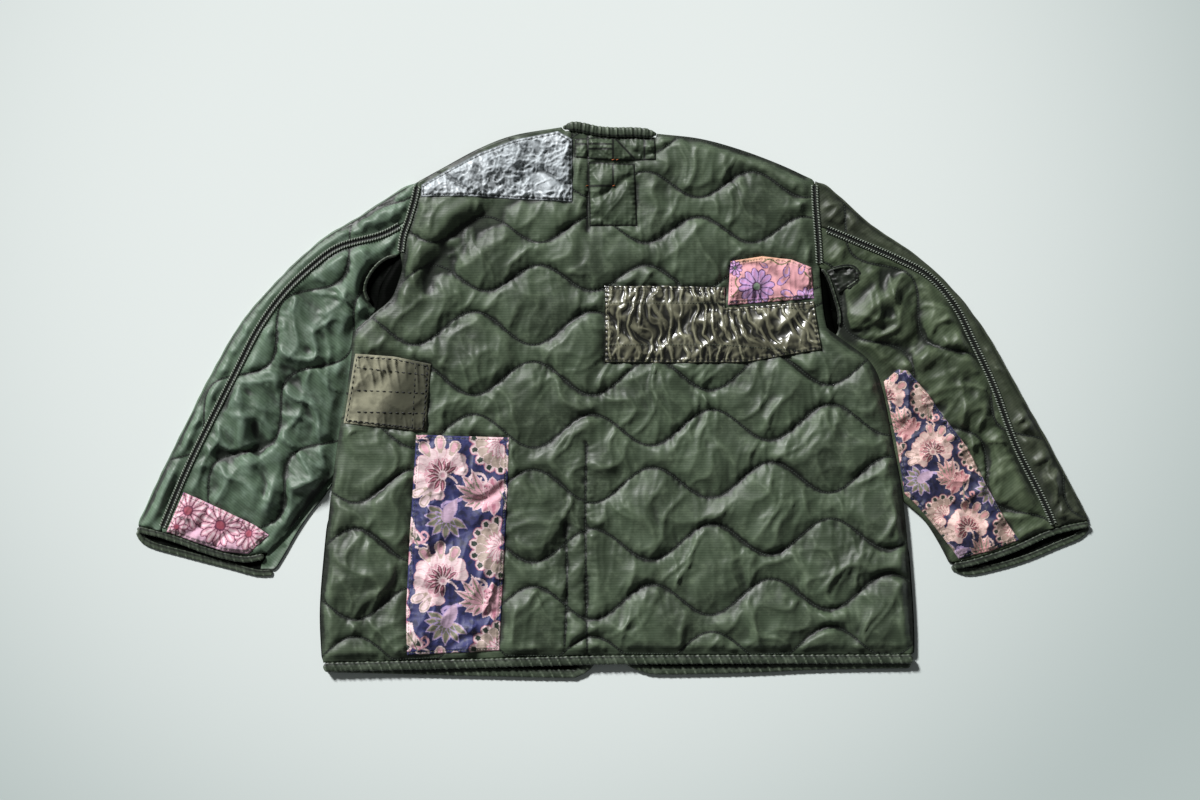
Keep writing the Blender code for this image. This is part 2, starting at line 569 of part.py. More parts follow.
def make_sleeve(side, green, sewn_on):
    """A two-piece sleeve laid flat: the top sleeve folds round its outer edge to the seam on top."""
    floor_outline = loop(SLEEVE_OUTER[side], side_of(LOWER_CUFF[side], CUFF_BINDING_HALF * handed(side)),
                         LOWER_INNER[side][::-1], UNDER_LINE[side][::-1], VENT_MIDDLE[side][::-1],
                         ARMHOLE_LOWER[side][::-1], ARMHOLE_UPPER[side][::-1])
    cuff_outer = side_of(CUFF_OUTER[side], CUFF_BINDING_HALF * handed(side))
    cuff_inner = side_of(CUFF_INNER[side], CUFF_BINDING_HALF * handed(side))
    strip_outline = loop(SLEEVE_OUTER[side][:-1], cuff_outer, SLEEVE_SEAM[side][::-1][1:],
                         ARMHOLE_UPPER[side][::-1])
    strip_outline = side_of(strip_outline, 0.3, closed=True)
    under_outline = loop(SLEEVE_SEAM[side][:-1], cuff_inner, SLEEVE_INNER[side][::-1][1:],
                         UNDER_LINE[side][::-1], VENT_SLEEVE[side][::-1], ARMHOLE_LOWER[side][::-1])
    rows = stitching(SLEEVE_QUILTING[side])
    rings = seam_rings([SLEEVE_SEAM[side], ARMHOLE_UPPER[side], ARMHOLE_LOWER[side]])
    rings.append((side_of(BODY_SIDE[side], -1.5 * handed(side)), 1.0, True))
    height = sleeve_height(side)
    top_name = side + "_top_sleeve"
    panel(top_name, floor_outline, 0.0, flat_height(SLEEVE_FLOOR_TOP), green, fill_step=0, ring=0)
    panel(top_name + "_strip", strip_outline, SLEEVE_UNDER, height, green, rows + rings)
    fold_line = side_of(even(SLEEVE_OUTER[side], 1.2 * OUTLINE_STEP)[1:-1], SLEEVE_FOLD_INSET * handed(side))
    strip(top_name + "_fold", fold_line, SLEEVE_FOLD_HALF, 0.5 * SLEEVE_FLOOR_TOP, 1.6 * SLEEVE_FLOOR_TOP,
          green)
    join(*[bpy.data.objects[top_name + end] for end in ("", "_strip", "_fold")])
    outlines = {name: patch_outline(corners) for name, (corners, _, _) in sewn_on.items()}
    cuts = [sewn_edge(outline) for outline in outlines.values()] + rows + rings
    under = panel(side + "_under_sleeve", under_outline, SLEEVE_UNDER, height, green, cuts)
    for name, (_, look, thick) in sewn_on.items():
        patch(name, outlines[name], under, look, thick)


def handed(side):
    """1 where a line drawn down the sleeve has the sleeve on its left, as on the left sleeve."""
    return 1 if side == "left" else -1


def make_trim(side, dark):
    """Bindings and seam tapes of one side."""
    word = side + "_"
    strip("front_hem_binding_" + side, trimmed(FRONT_HEM[side], 1, 2), BINDING_HALF - HALF_GAP, 0.0,
          FRONT_TOP - SEAM_GAP, dark)
    strip("front_edge_binding_" + side, trimmed(FRONT_EDGE[side], 2, 4), BINDING_HALF - HALF_GAP, 0.0,
          FRONT_TOP - SEAM_GAP, dark)
    cuff = np.vstack([CUFF_OUTER[side], CUFF_INNER[side][1:]])
    strip(word + "cuff_binding_upper", trimmed(cuff, 1, 1), CUFF_BINDING_HALF - HALF_GAP, SLEEVE_UNDER,
          CUFF_BINDING_TOP, dark)
    strip(word + "cuff_binding_lower", trimmed(LOWER_CUFF[side], 3, 1), CUFF_BINDING_HALF - HALF_GAP, 0.0,
          SLEEVE_FLOOR_TOP, dark)
    under = SEAM_LEVEL + SEAM_GAP
    armhole = np.vstack([ARMHOLE_UPPER[side], ARMHOLE_LOWER[side][1:]])
    strip(word + "armhole_tape", trimmed(armhole, 5, 3), TAPE_HALF, under, under + TAPE_THICK, dark)
    strip(word + "sleeve_tape", trimmed(SLEEVE_SEAM[side], 12, 9), TAPE_HALF, under, under + TAPE_THICK, dark)


def main():
    for thing in list(bpy.data.objects):
        bpy.data.objects.remove(thing)
    green = cloth("green_nylon", (0.052, 0.082, 0.052), 0.45)
    dark = cloth("green_binding", (0.036, 0.056, 0.036), 0.5)
    looks = {
        "patch_silver": cloth("silver_foil_cloth", (0.52, 0.54, 0.57), 0.35, 0.4),
        "patch_tan": cloth("drab_cotton", (0.17, 0.17, 0.11), 0.85),
        "patch_brocade": cloth("brocade", (0.45, 0.27, 0.30), 0.6),
        "patch_floral": cloth("pink_floral_cotton", (0.66, 0.34, 0.38), 0.8),
        "patch_shiny": cloth("shiny_drab_nylon", (0.10, 0.10, 0.065), 0.18),
        "neck_facing": green,
        "neck_tab": green,
    }
    make_back(green, looks)
    for side in SIDES:
        make_front(side, green)
    make_sleeve("left", green, {"patch_cuff_left": (LEFT_CUFF_PATCH, looks["patch_floral"], PATCH_THICK)})
    make_sleeve("right", green, {
        "patch_sleeve_right": (RIGHT_SLEEVE_PATCH, looks["patch_brocade"], PATCH_THICK),
        "right_vent_flap": (VENT_FLAP, green, FLAP_THICK),
    })
    for side in SIDES:
        make_trim(side, dark)
    half = BINDING_HALF - HALF_GAP
    strip("neck_binding", trimmed(NECK_LINE, 1, 1), half, BACK_UNDER, NECK_BINDING_TOP, dark)
    strip("back_hem_binding", trimmed(BACK_HEM, 1, 1), half, BACK_UNDER, HEM_BINDING_TOP, dark)


main()
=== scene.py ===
import math
import time
import bpy
import numpy as np
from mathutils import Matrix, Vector, geometry, noise
from mathutils.bvhtree import BVHTree


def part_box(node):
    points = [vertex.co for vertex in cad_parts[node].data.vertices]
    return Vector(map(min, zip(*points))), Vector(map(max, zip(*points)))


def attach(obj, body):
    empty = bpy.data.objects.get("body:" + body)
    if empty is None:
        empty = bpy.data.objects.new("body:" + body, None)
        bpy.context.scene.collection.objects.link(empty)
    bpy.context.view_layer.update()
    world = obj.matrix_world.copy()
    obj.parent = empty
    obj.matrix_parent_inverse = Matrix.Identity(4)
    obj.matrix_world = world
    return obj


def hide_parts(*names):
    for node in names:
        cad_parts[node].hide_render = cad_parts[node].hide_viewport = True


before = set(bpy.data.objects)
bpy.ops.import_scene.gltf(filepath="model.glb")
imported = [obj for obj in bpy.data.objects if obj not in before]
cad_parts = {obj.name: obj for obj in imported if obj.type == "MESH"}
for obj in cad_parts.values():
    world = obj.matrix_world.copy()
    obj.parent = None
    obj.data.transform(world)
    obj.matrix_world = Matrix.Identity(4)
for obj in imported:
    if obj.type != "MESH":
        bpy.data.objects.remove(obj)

scene = bpy.context.scene
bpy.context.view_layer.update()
mm = 0.001
started = time.time()


def tell(words):
    print("scene:", words, round(time.time() - started, 1), flush=True)


# Plan helpers. Everything on the plan is in millimetres, seen from straight above.

def evenLine(line, step):
    runs = np.r_[0, np.cumsum(np.linalg.norm(np.diff(line, axis=0), axis=1))]
    marks = np.linspace(0, runs[-1], max(2, round(runs[-1] / step) + 1))
    return np.column_stack([np.interp(marks, runs, line[:, k]) for k in range(line.shape[1])])


def softLine(points, step=4.0):
    # a smooth line through the given points
    given = np.array(points, float)
    padded = np.vstack([2 * given[0] - given[1], given, 2 * given[-1] - given[-2]])
    fine = [given[0]]
    for i in range(len(given) - 1):
        a, b, c, d = padded[i:i + 4]
        for t in np.linspace(0, 1, 13)[1:]:
            bend, twist = 2 * a - 5 * b + 4 * c - d, 3 * b - a - 3 * c + d
            fine.append(0.5 * (2 * b + (c - a) * t + bend * t ** 2 + twist * t ** 3))
    return evenLine(np.array(fine), step)


def turned(line, closed=False):
    # the unit vectors to the left of a line at each of its points
    if closed:
        before, after = np.roll(line, 1, axis=0), np.roll(line, -1, axis=0)
    else:
        before, after = np.vstack([line[0], line[:-1]]), np.vstack([line[1:], line[-1]])
    way = after - before
    way /= np.maximum(np.hypot(*way.T), 1e-9)[:, None]
    return np.column_stack([-way[:, 1], way[:, 0]])


def sideOf(line, distance, closed=False):
    return line + turned(line, closed) * distance


def looped(line):
    return np.vstack([line, line[:1]])


def closedLoop(*lines):
    # one counter-clockwise outline from lines that follow each other
    points = []
    for line in lines:
        for p in line:
            if not points or np.hypot(*(p - points[-1])) > 0.5:
                points.append(p)
    if np.hypot(*(points[0] - points[-1])) <= 0.5:
        points.pop()
    outline = np.array(points)
    x, y = outline.T
    return outline if np.sum(x * np.roll(y, -1) - np.roll(x, -1) * y) > 0 else outline[::-1]


def reach(points, line, closed=False):
    # each point's distance to a line, and how far along the line that is
    points = np.atleast_2d(points)
    ends = looped(line) if closed else line
    start, run = ends[:-1], np.diff(ends, axis=0)
    size = np.hypot(*run.T)
    walked = np.r_[0, np.cumsum(size)]
    best, along = np.full(len(points), 1e9), np.zeros(len(points))
    for k in range(len(run)):
        if size[k] < 1e-9:
            continue
        share = np.clip(((points - start[k]) @ run[k]) / size[k] ** 2, 0, 1)
        gap = np.hypot(*(points - start[k] - share[:, None] * run[k]).T)
        nearer = gap < best
        best[nearer] = gap[nearer]
        along[nearer] = walked[k] + share[nearer] * size[k]
    return best, along


def reachAny(points, lines):
    if not lines:
        return np.full(len(points), 1e3)
    return np.min([reach(points, line)[0] for line in lines], axis=0)


def inside(points, outline):
    x, y = np.atleast_2d(points).T
    result = np.zeros(len(x), bool)
    for (x0, y0), (x1, y1) in zip(outline, np.roll(outline, -1, axis=0)):
        if y0 != y1:
            result ^= ((y0 > y) != (y1 > y)) & (x < (x1 - x0) * (y - y0) / (y1 - y0) + x0)
    return result


def ease(x):
    x = np.clip(x, 0, 1)
    return x * x * (3 - 2 * x)


def drift(points, size, seed=0.0):
    # soft noise from about -1 to 1 over the plan
    return np.array([noise.noise(Vector((x, y, seed))) for x, y in (points / size).tolist()]) * 1.6


def ridged(points, size, longer, turn, seed, sharp=2.0):
    # creases with narrow tops that run along a direction, 0 to 1
    c, t = math.cos(turn), math.sin(turn)
    local = np.column_stack([(points[:, 0] * c + points[:, 1] * t) / longer, points[:, 1] * c - points[:, 0] * t])
    return np.maximum(1 - np.abs(drift(local, size, seed)), 0) ** sharp


def crumpled(points, seed, creases):
    # crossing creases, each with its width, its length over that, its direction and its height
    warp = np.column_stack([drift(points, 48, seed), drift(points, 48, seed + 11)])
    z = np.zeros(len(points))
    for k, (size, longer, turn, high) in enumerate(creases):
        bent = points + 0.45 * size * warp
        z += high * (ridged(bent, size, longer, math.radians(turn), seed + 17.3 * k, 3.2) - 0.3)
    return z


# The plan: where each seam and edge of the jacket lies, measured on the photograph.

seam = {
    "left": {
        "shoulder": [(-60, 327), (-119, 317), (-161, 301), (-202, 279), (-233.5, 261.5)],
        "armholeTop": [(-233.5, 261.5), (-238, 239), (-245, 215)],
        "armholeLow": [(-245, 215), (-251.5, 196), (-254.5, 174)],
        "ventBody": [(-254.5, 174), (-252.5, 158), (-257, 142), (-264, 124), (-273, 114)],
        "ventSleeve": [(-254.5, 174), (-271, 170), (-285, 159), (-295, 143), (-297, 129), (-289, 113)],
        "ventMiddle": [(-254.5, 174), (-272, 148), (-280, 128), (-283, 108)],
        "bodySide": [(-273, 114), (-292, 99), (-311, 80), (-313, 56), (-319, 12), (-327, -32), (-335, -89),
                     (-345, -183), (-350, -250), (-348.5, -300), (-347, -314)],
        "tuck": [(-283, 108), (-297, 88), (-301, 60), (-307, 12), (-315, -32), (-322, -78)],
        "sleeveOuter": [(-233.5, 261.5), (-260, 248), (-302, 220), (-352, 189), (-401, 143), (-445, 92),
                        (-482, 28), (-515, -37), (-545, -98), (-571, -154)],
        "sleeveSeam": [(-245, 215), (-277, 198), (-327, 184), (-361, 160), (-395, 127), (-425, 85), (-452, 33),
                       (-507, -76), (-543, -161)],
        "cuffOuter": [(-571, -154), (-557, -158), (-543, -161)],
        "cuffInner": [(-543, -161), (-516, -170), (-492, -179), (-465, -187), (-440, -191), (-417, -187)],
        "sleeveInner": [(-322, -78), (-344, -101), (-369, -133), (-394, -164), (-417, -187)],
        "lowerInner": [(-322, -78), (-347, -117), (-361, -133), (-378, -158), (-394, -186), (-407, -207)],
        "lowerCuff": [(-571, -154), (-559, -171), (-512, -185), (-462, -198), (-428, -207), (-407, -207)],
        "frontHem": [(-346.5, -321), (-220, -324.5), (-64, -328), (-42, -326), (-29, -317), (-23, -303)],
        "frontEdge": [(-23, -303), (-14, -262), (-10, -200), (-10, 0), (-10, 110), (-24, 165), (-66, 312)],
    },
    "right": {
        "shoulder": [(52, 319), (104, 313), (152, 300), (200, 282), (241, 263)],
        "armholeTop": [(241, 263), (242, 235), (244, 209)],
        "armholeLow": [(244, 209), (246, 182), (247, 160)],
        "ventBody": [(247, 160), (249.5, 132), (252, 106), (256, 86)],
        "ventSleeve": [(247, 160), (257, 148), (266, 122), (271, 102), (270, 83)],
        "ventMiddle": [(247, 160), (257, 130), (261, 102), (266, 78)],
        "bodySide": [(256, 86), (278, 70), (308, 46), (322, 12), (334, -48), (347, -118), (354, -187),
                     (359, -260), (360, -304)],
        "tuck": [(266, 78), (284, 55), (297, 36), (310, 8), (322, -50), (329, -90), (338, -112)],
        "sleeveOuter": [(241, 263), (262, 251), (309, 209), (362, 173), (405, 134), (447, 79), (488, 7),
                        (526, -61), (562, -129), (571, -148.5)],
        "sleeveSeam": [(244, 209), (270, 199), (341, 169), (380, 147), (410, 112), (432, 68), (456, 16),
                       (482, -54), (514, -118), (531, -157)],
        "cuffOuter": [(571, -148.5), (550, -152.5), (531, -157)],
        "cuffInner": [(531, -157), (513, -164), (487, -176), (460, -186), (426, -196), (407, -199)],
        "sleeveInner": [(338, -112), (351, -124), (373, -144), (391, -172), (407, -199)],
        "lowerInner": [(338, -112), (351, -124.5), (373, -144.5), (391, -172.5), (405, -199.5)],
        "lowerCuff": [(571, -148.5), (560, -162), (530, -175), (495, -189.5), (460, -200), (426, -206.5),
                      (405, -199.5)],
        "frontHem": [(358, -316.5), (245, -318.5), (167, -322), (62, -324), (36, -321), (20, -313), (13, -299)],
        "frontEdge": [(13, -299), (6, -262), (3, -200), (3, 0), (3, 110), (17, 165), (56, 305)],
    },
}
seam = {side: {name: softLine(points) for name, points in lines.items()} for side, lines in seam.items()}
neckLine = softLine([(-60, 327), (-46, 328.5), (-31, 326), (-18, 323), (2, 321.5), (26, 321.5), (52, 319)])
hemLine = softLine([(-347, -320), (-220, -317), (-37, -312), (44, -311), (200, -310.5), (359.5, -310)])
hand = {"left": 1, "right": -1}

patchCorners = {
    "silver": [(-229.5, 257.5), (-202, 273.5), (-161, 295.5), (-119, 311.5), (-66, 322), (-48.5, 312),
               (-48.5, 236.5), (-112, 240), (-168, 243.5), (-230, 243)],
    "tan": [(-308.5, 55.5), (-262, 52), (-217.5, 43), (-223.5, -36.5), (-238, -37.5), (-322.5, -28)],
    "brocade": [(-235.5, -41.5), (-124.5, -45), (-126, -105), (-129.5, -178), (-136, -300), (-246.5, -305.5),
                (-247.5, -250), (-244, -175)],
    "floral": [(140.5, 166), (178.5, 172), (214, 168), (237.5, 158.5), (240.5, 121.5), (137.5, 113.5)],
    "shiny": [(-10, 137), (60, 137), (134.5, 135.5), (134.5, 110.5), (240.5, 118.5), (250, 60), (158, 44.5),
              (96, 44), (-10, 44.5)],
    "facing": [(-45.5, 312.5), (-18, 315), (2, 314), (26, 314), (50.5, 312.5), (51.5, 287.5), (2, 286),
               (-46.5, 290.5)],
    "tab": [(-30, 285), (26, 282.5), (29, 208.5), (-28, 208.5)],
    "cuffLeft": [(-514, -110.5), (-466, -132), (-428, -150.5), (-412, -162), (-437, -184.5), (-466, -181.5),
                 (-500, -170.5), (-534.5, -158)],
    "sleeveRight": [(324.5, 22), (341, 36.5), (353, 35), (378, 6), (396, -20), (423.5, -56), (448, -104),
                    (470, -144), (486, -167.5), (452, -181), (414, -190), (381, -146), (363, -125),
                    (349.5, -112.5), (339, -48)],
    "flap": [(256, 154), (264, 158.5), (287, 160), (295, 152), (293, 142), (270, 127), (264.5, 139)],
}
patchEdge = {
    name: closedLoop(*[evenLine(np.array([a, b], float), 4.0) for a, b in zip(c, c[1:] + c[:1])])
    for name, c in patchCorners.items()
}


# Quilting: rows of waves, each half a wave on from the last, so the cells look like onions.

def rowField(start, run, across, span, rows):
    return {"start": np.array(start, float), "run": np.array(run), "across": np.array(across), "span": span,
            "rows": rows}


def rowHeight(row, t):
    base, swing, crest, wave, rise = row
    return base + rise * np.maximum(0, t + 10) + swing * np.cos(2 * np.pi * (t - crest) / wave)


def rowLines(field):
    t = np.arange(*field["span"], 4.0)
    return [field["start"] + t[:, None] * field["run"] + rowHeight(row, t)[:, None] * field["across"]
            for row in field["rows"]]


def rowGap(field, points):
    # distance to the nearest row, and the place along it
    away = points - field["start"]
    t, s = away @ field["run"], away @ field["across"]
    best, along = np.full(len(t), 1e3), np.zeros(len(t))
    for k, row in enumerate(field["rows"]):
        slope = (rowHeight(row, t + 1) - rowHeight(row, t - 1)) / 2
        gap = np.abs(s - rowHeight(row, t)) / np.sqrt(1 + slope ** 2)
        nearer = gap < best
        best[nearer], along[nearer] = gap[nearer], (1.12 * t + 37 * k)[nearer]
    return best, along


backRows = {"middles": (309, 258, 204, 146, 86, 26, -37, -103, -174, -243, -303), "upper": 4, "crest": -24.6}
sleeveRows = {"pitch": 64.0, "wave": 134.0, "swing": 18.0, "first": {"left": 6.0, "right": 15.6},
              "crests": {"left": (24.0, 91.0), "right": (111.6, 44.6)}}
bodyField = rowField((0, 0), (1, 0), (0, 1), (-372, 373), [
    (y, 15.5, backRows["crest"] + (63.5 if i % 2 else 0), 127.0, 0.0) if i < backRows["upper"]
    else (y, 20.0, backRows["crest"] + (71 if i % 2 else 0), 142.0, 0.045)
    for i, y in enumerate(backRows["middles"])])
sleeveField = {
    side: rowField((way * 326.4, 179.8), (way * 0.65, -0.76), (-way * 0.76, -0.65), (-150, 480), [
        (sleeveRows["first"][side] + sleeveRows["pitch"] * i, sleeveRows["swing"],
         sleeveRows["crests"][side][i % 2], sleeveRows["wave"], 0.0) for i in range(-2, 4)])
    for side, way in (("left", -1), ("right", 1))}


# Mesh helpers

def sidesOf(faces):
    return np.concatenate([faces[:, [0, 1]], faces[:, [1, 2]], faces[:, [2, 0]]])


def triangulated(outline, lines, step, seed):
    # triangles inside an outline, with edges along the lines, on a slightly shaken grid
    outline = evenLine(looped(outline), step)[:-1]
    points, edges = list(outline), [(i, (i + 1) % len(outline)) for i in range(len(outline))]
    kept = []
    for line in lines:
        line = evenLine(line, step)
        fits = inside(line, outline) & (reach(line, outline, True)[0] > 0.45 * step)
        if kept:
            fits &= reachAny(line, kept) > 0.3 * step
        last = None
        for p, good in zip(line, fits):
            if good:
                points.append(p)
                if last is not None:
                    edges.append((last, len(points) - 1))
            last = len(points) - 1 if good else None
        kept.append(line)
    low, high = outline.min(axis=0), outline.max(axis=0)
    grid = np.array([(x + (step / 2 if j % 2 else 0), y)
                     for j, y in enumerate(np.arange(low[1], high[1], step * 0.866))
                     for x in np.arange(low[0], high[0], step)])
    grid = grid + np.random.default_rng(seed).uniform(-0.12, 0.12, grid.shape) * step
    grid = grid[inside(grid, outline)]
    grid = grid[reach(grid, outline, True)[0] > 0.55 * step]
    if kept:
        grid = grid[reachAny(grid, kept) > 0.5 * step]
    points += list(grid)
    made = geometry.delaunay_2d_cdt([Vector(p) for p in points], edges, [list(range(len(outline)))], 1, 0.01)
    return np.array([tuple(v) for v in made[0]]), np.array([tuple(f) for f in made[2]])


def halved(points, plan, faces, fixed):
    # one step of smooth subdivision: each triangle becomes four
    ends = np.sort(sidesOf(faces), axis=1)
    edges, where, uses = np.unique(ends, axis=0, return_inverse=True, return_counts=True)
    where = where.reshape(-1)
    opposite = np.concatenate([faces[:, 2], faces[:, 0], faces[:, 1]])
    across = np.zeros((len(edges), 3))
    np.add.at(across, where, points[opposite])
    middle = (points[edges[:, 0]] + points[edges[:, 1]]) / 2
    soft = (uses == 2) & ~(fixed[edges[:, 0]] & fixed[edges[:, 1]])
    new = middle.copy()
    new[soft] = 0.75 * middle[soft] + across[soft] / 8
    around, count = np.zeros(points.shape), np.zeros(len(points))
    for a, b in ((0, 1), (1, 0)):
        np.add.at(around, edges[:, a], points[edges[:, b]])
        np.add.at(count, edges[:, a], 1)
    hold = fixed.copy()
    hold[edges[uses == 1].ravel()] = True
    share = (0.625 - (0.375 + 0.25 * np.cos(2 * np.pi / count)) ** 2) / count
    moved = (1 - count * share)[:, None] * points + share[:, None] * around
    moved[hold] = points[hold]
    n = len(points)
    ab, bc, ca = (where[k * len(faces):(k + 1) * len(faces)] + n for k in range(3))
    a, b, c = faces.T
    split = np.concatenate([np.column_stack(t) for t in ((a, ab, ca), (ab, b, bc), (ca, bc, c), (ab, bc, ca))])
    onLine = fixed[edges[:, 0]] & fixed[edges[:, 1]]
    flat = np.vstack([plan, (plan[edges[:, 0]] + plan[edges[:, 1]]) / 2])
    return np.vstack([moved, new]), flat, split, np.r_[fixed, onLine]


def rimOf(faces):
    used = set(map(tuple, sidesOf(faces).tolist()))
    follows = {a: b for a, b in used if (b, a) not in used}
    rim = [min(follows)]
    while follows[rim[-1]] != rim[0]:
        rim.append(follows[rim[-1]])
    return rim


def makePiece(name, points, faces, material, numbers=None, colours=None):
    mesh = bpy.data.meshes.new(name)
    mesh.from_pydata((np.asarray(points, float) * mm).tolist(), [], [tuple(map(int, f)) for f in faces])
    mesh.validate()
    mesh.shade_smooth()
    for key, values in (numbers or {}).items():
        mesh.attributes.new(key, "FLOAT", "POINT").data.foreach_set("value", np.asarray(values, np.float32))
    for key, values in (colours or {}).items():
        rgba = np.column_stack([values, np.ones(len(values))]).astype(np.float32)
        mesh.attributes.new(key, "FLOAT_COLOR", "POINT").data.foreach_set("color", rgba.ravel())
    mesh.materials.append(material)
    piece = bpy.data.objects.new(name, mesh)
    scene.collection.objects.link(piece)
    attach(piece, "root")
    return piece


def tubeFaces(sides, n):
    # the skin of a tube of n rings, its points kept one side after another
    faces = []
    for j in range(sides):
        a, b = j * n, (j + 1) % sides * n
        faces += [(b + i, a + i, a + i + 1, b + i + 1) for i in range(n - 1)]
    return faces + [tuple(j * n for j in range(sides)), tuple(j * n + n - 1 for j in reversed(range(sides)))]


def settle(name, plan, faces, z, pinned, cut, push, frames):
    # Cloth that is cut a little larger than it lies is pinned along its stitching and pushed up by its padding.
    mesh = bpy.data.meshes.new(name)
    mesh.from_pydata((np.column_stack([plan, z]) * mm).tolist(), [], faces.tolist())
    body = bpy.data.objects.new(name, mesh)
    scene.collection.objects.link(body)
    body.shape_key_add(name="asLaid")
    rest = body.shape_key_add(name="asCut")
    rest.data.foreach_set("co", (np.column_stack([cut, np.zeros(len(cut))]) * mm).astype(np.float32).ravel())
    body.vertex_groups.new(name="sewn").add(np.flatnonzero(pinned).tolist(), 1.0, "REPLACE")
    cloth = body.modifiers.new("cloth", "CLOTH")
    s = cloth.settings
    s.vertex_group_mass = "sewn"
    s.rest_shape_key = rest
    s.effector_weights.gravity = 0
    s.use_pressure = True
    s.uniform_pressure_force = push
    s.quality = 5
    s.mass = 0.01
    s.tension_stiffness = s.compression_stiffness = 15
    s.shear_stiffness = 5
    s.bending_stiffness = 0.002
    s.tension_damping = s.compression_damping = 1
    cloth.collision_settings.use_collision = False
    cloth.point_cache.frame_start, cloth.point_cache.frame_end = 1, frames
    for f in range(1, frames + 1):
        scene.frame_set(f)
    shown = body.evaluated_get(bpy.context.evaluated_depsgraph_get())
    result = np.empty(len(plan) * 3, np.float32)
    shown.data.vertices.foreach_get("co", result)
    bpy.data.objects.remove(body)
    scene.frame_set(1)
    return result.reshape(-1, 3).astype(float) / mm


# Materials

def hexColour(code):
    # an sRGB hex colour as linear light
    parts = [int(code[i:i + 2], 16) / 255 for i in (1, 3, 5)]
    return np.array([c / 12.92 if c <= 0.04045 else ((c + 0.055) / 1.055) ** 2.4 for c in parts])


def rgba(code):
    return (*hexColour(code), 1.0)


def feed(tree, made, inputs):
    for key, value in inputs.items():
        if isinstance(value, bpy.types.NodeSocket):
            tree.links.new(value, made.inputs[key])
        else:
            made.inputs[key].default_value = value


def addNode(tree, kind, inputs, out=0, **settings):
    # one node with its settings and links, and the output that is used next
    made = tree.nodes.new("ShaderNode" + kind)
    for key, value in settings.items():
        setattr(made, key, value)
    feed(tree, made, inputs)
    return made.outputs[out]


def startMaterial(name, turn=0.0):
    made = bpy.data.materials.new(name)
    made.use_nodes = True
    place = addNode(made.node_tree, "TexCoord", {}, "Object")
    if turn:
        place = addNode(made.node_tree, "Mapping", {"Vector": place, "Rotation": (0, 0, turn)})
    return made, made.node_tree, place


def bandScale(pitch):
    return 2 * math.pi / (20 * pitch * mm)  # a wave texture's scale for bands this many mm apart


def layered(tree, colour, layers):
    # colours laid on one another: a mask, its two ends, how much of the colour shows at each, and the colour
    for mask, low, high, atLow, atHigh, upper, *kind in layers:
        share = addNode(tree, "MapRange", {0: mask, 1: low, 2: high, 3: atLow, 4: atHigh},
                        interpolation_type="SMOOTHSTEP")
        colour = addNode(tree, "Mix", {0: share, 6: colour, 7: rgba(upper)}, 2, data_type="RGBA",
                         blend_type=kind[0] if kind else "MIX")
    return colour


def finishMaterial(made, inputs, heights=()):
    # the shader's inputs, then layers of height, each with its depth in mm, one on another
    tree = made.node_tree
    shader, normal = tree.nodes["Principled BSDF"], {}
    for height, depth in heights:
        bump = {"Height": height, "Distance": depth * mm, "Strength": 1.0, **normal}
        normal = {"Normal": addNode(tree, "Bump", bump)}
    feed(tree, shader, {**inputs, **normal})
    return made


def ripstopNylon(name, look, turn=0.0):
    # calendered nylon ripstop: fine ribs across, a satin gleam on each ridge, painted shade in the hollows, wear and
    # a painted highlight on the ridges, dust and painted shade in the stitching
    made, tree, place = startMaterial(name, turn)
    cloudy = addNode(tree, "TexNoise", {"Vector": place, "Scale": 1000 / look["patchySize"], "Detail": 4.0})
    fine = addNode(tree, "TexNoise", {"Vector": place, "Scale": 1000 / look["grainSize"], "Detail": 6.0,
                                      "Roughness": 0.65})
    ribs = addNode(tree, "TexWave", {"Vector": place, "Scale": bandScale(look["ribPitch"]), "Distortion": 1.2,
                                     "Detail": 2.0, "Detail Scale": 1.5}, 1, bands_direction="Y")
    gap, relief = (addNode(tree, "Attribute", {}, "Fac", attribute_name=key) for key in ("stitchGap", "relief"))
    colour = layered(tree, rgba(look["deep"]), [
        (cloudy, 0.35, 0.65, 0, 1, look["main"]),
        (fine, 0.45, 0.75, 0, 0.5, look["worn"]),
        (ribs, 0.1, 0.5, look["ribShade"], 0, look["deep"], "MULTIPLY"),
        # painted shade: cloth that lies below the cloth round it, and the deepest folds, is painted darker
        (relief, -2.6, -0.4, look["hollowShade"], 0, look["hollow"]),
        # wear and painted highlight: cloth that stands above the cloth round it is painted lighter
        (relief, 0.3, 2.0, 0, look["ridgeWearAndHighlight"], look["worn"]),
        # dust and painted shade: the crease colour darkens the cloth along the stitching
        (gap, 0.3, look["creaseWide"], look["creaseShade"], 0, look["crease"])])
    gleam = addNode(tree, "MapRange", {0: fine, 1: 0.3, 2: 0.7, 3: look["gloss"][0], 4: look["gloss"][1]},
                    interpolation_type="SMOOTHSTEP")
    return finishMaterial(made, {
        "Base Color": colour, "Roughness": gleam, "IOR": 1.53, "Specular IOR Level": look["shine"],
        "Sheen Weight": 0.25 * look["shine"], "Sheen Roughness": 0.4,
    }, [(fine, look["crumple"]), (ribs, look["ribDepth"])])


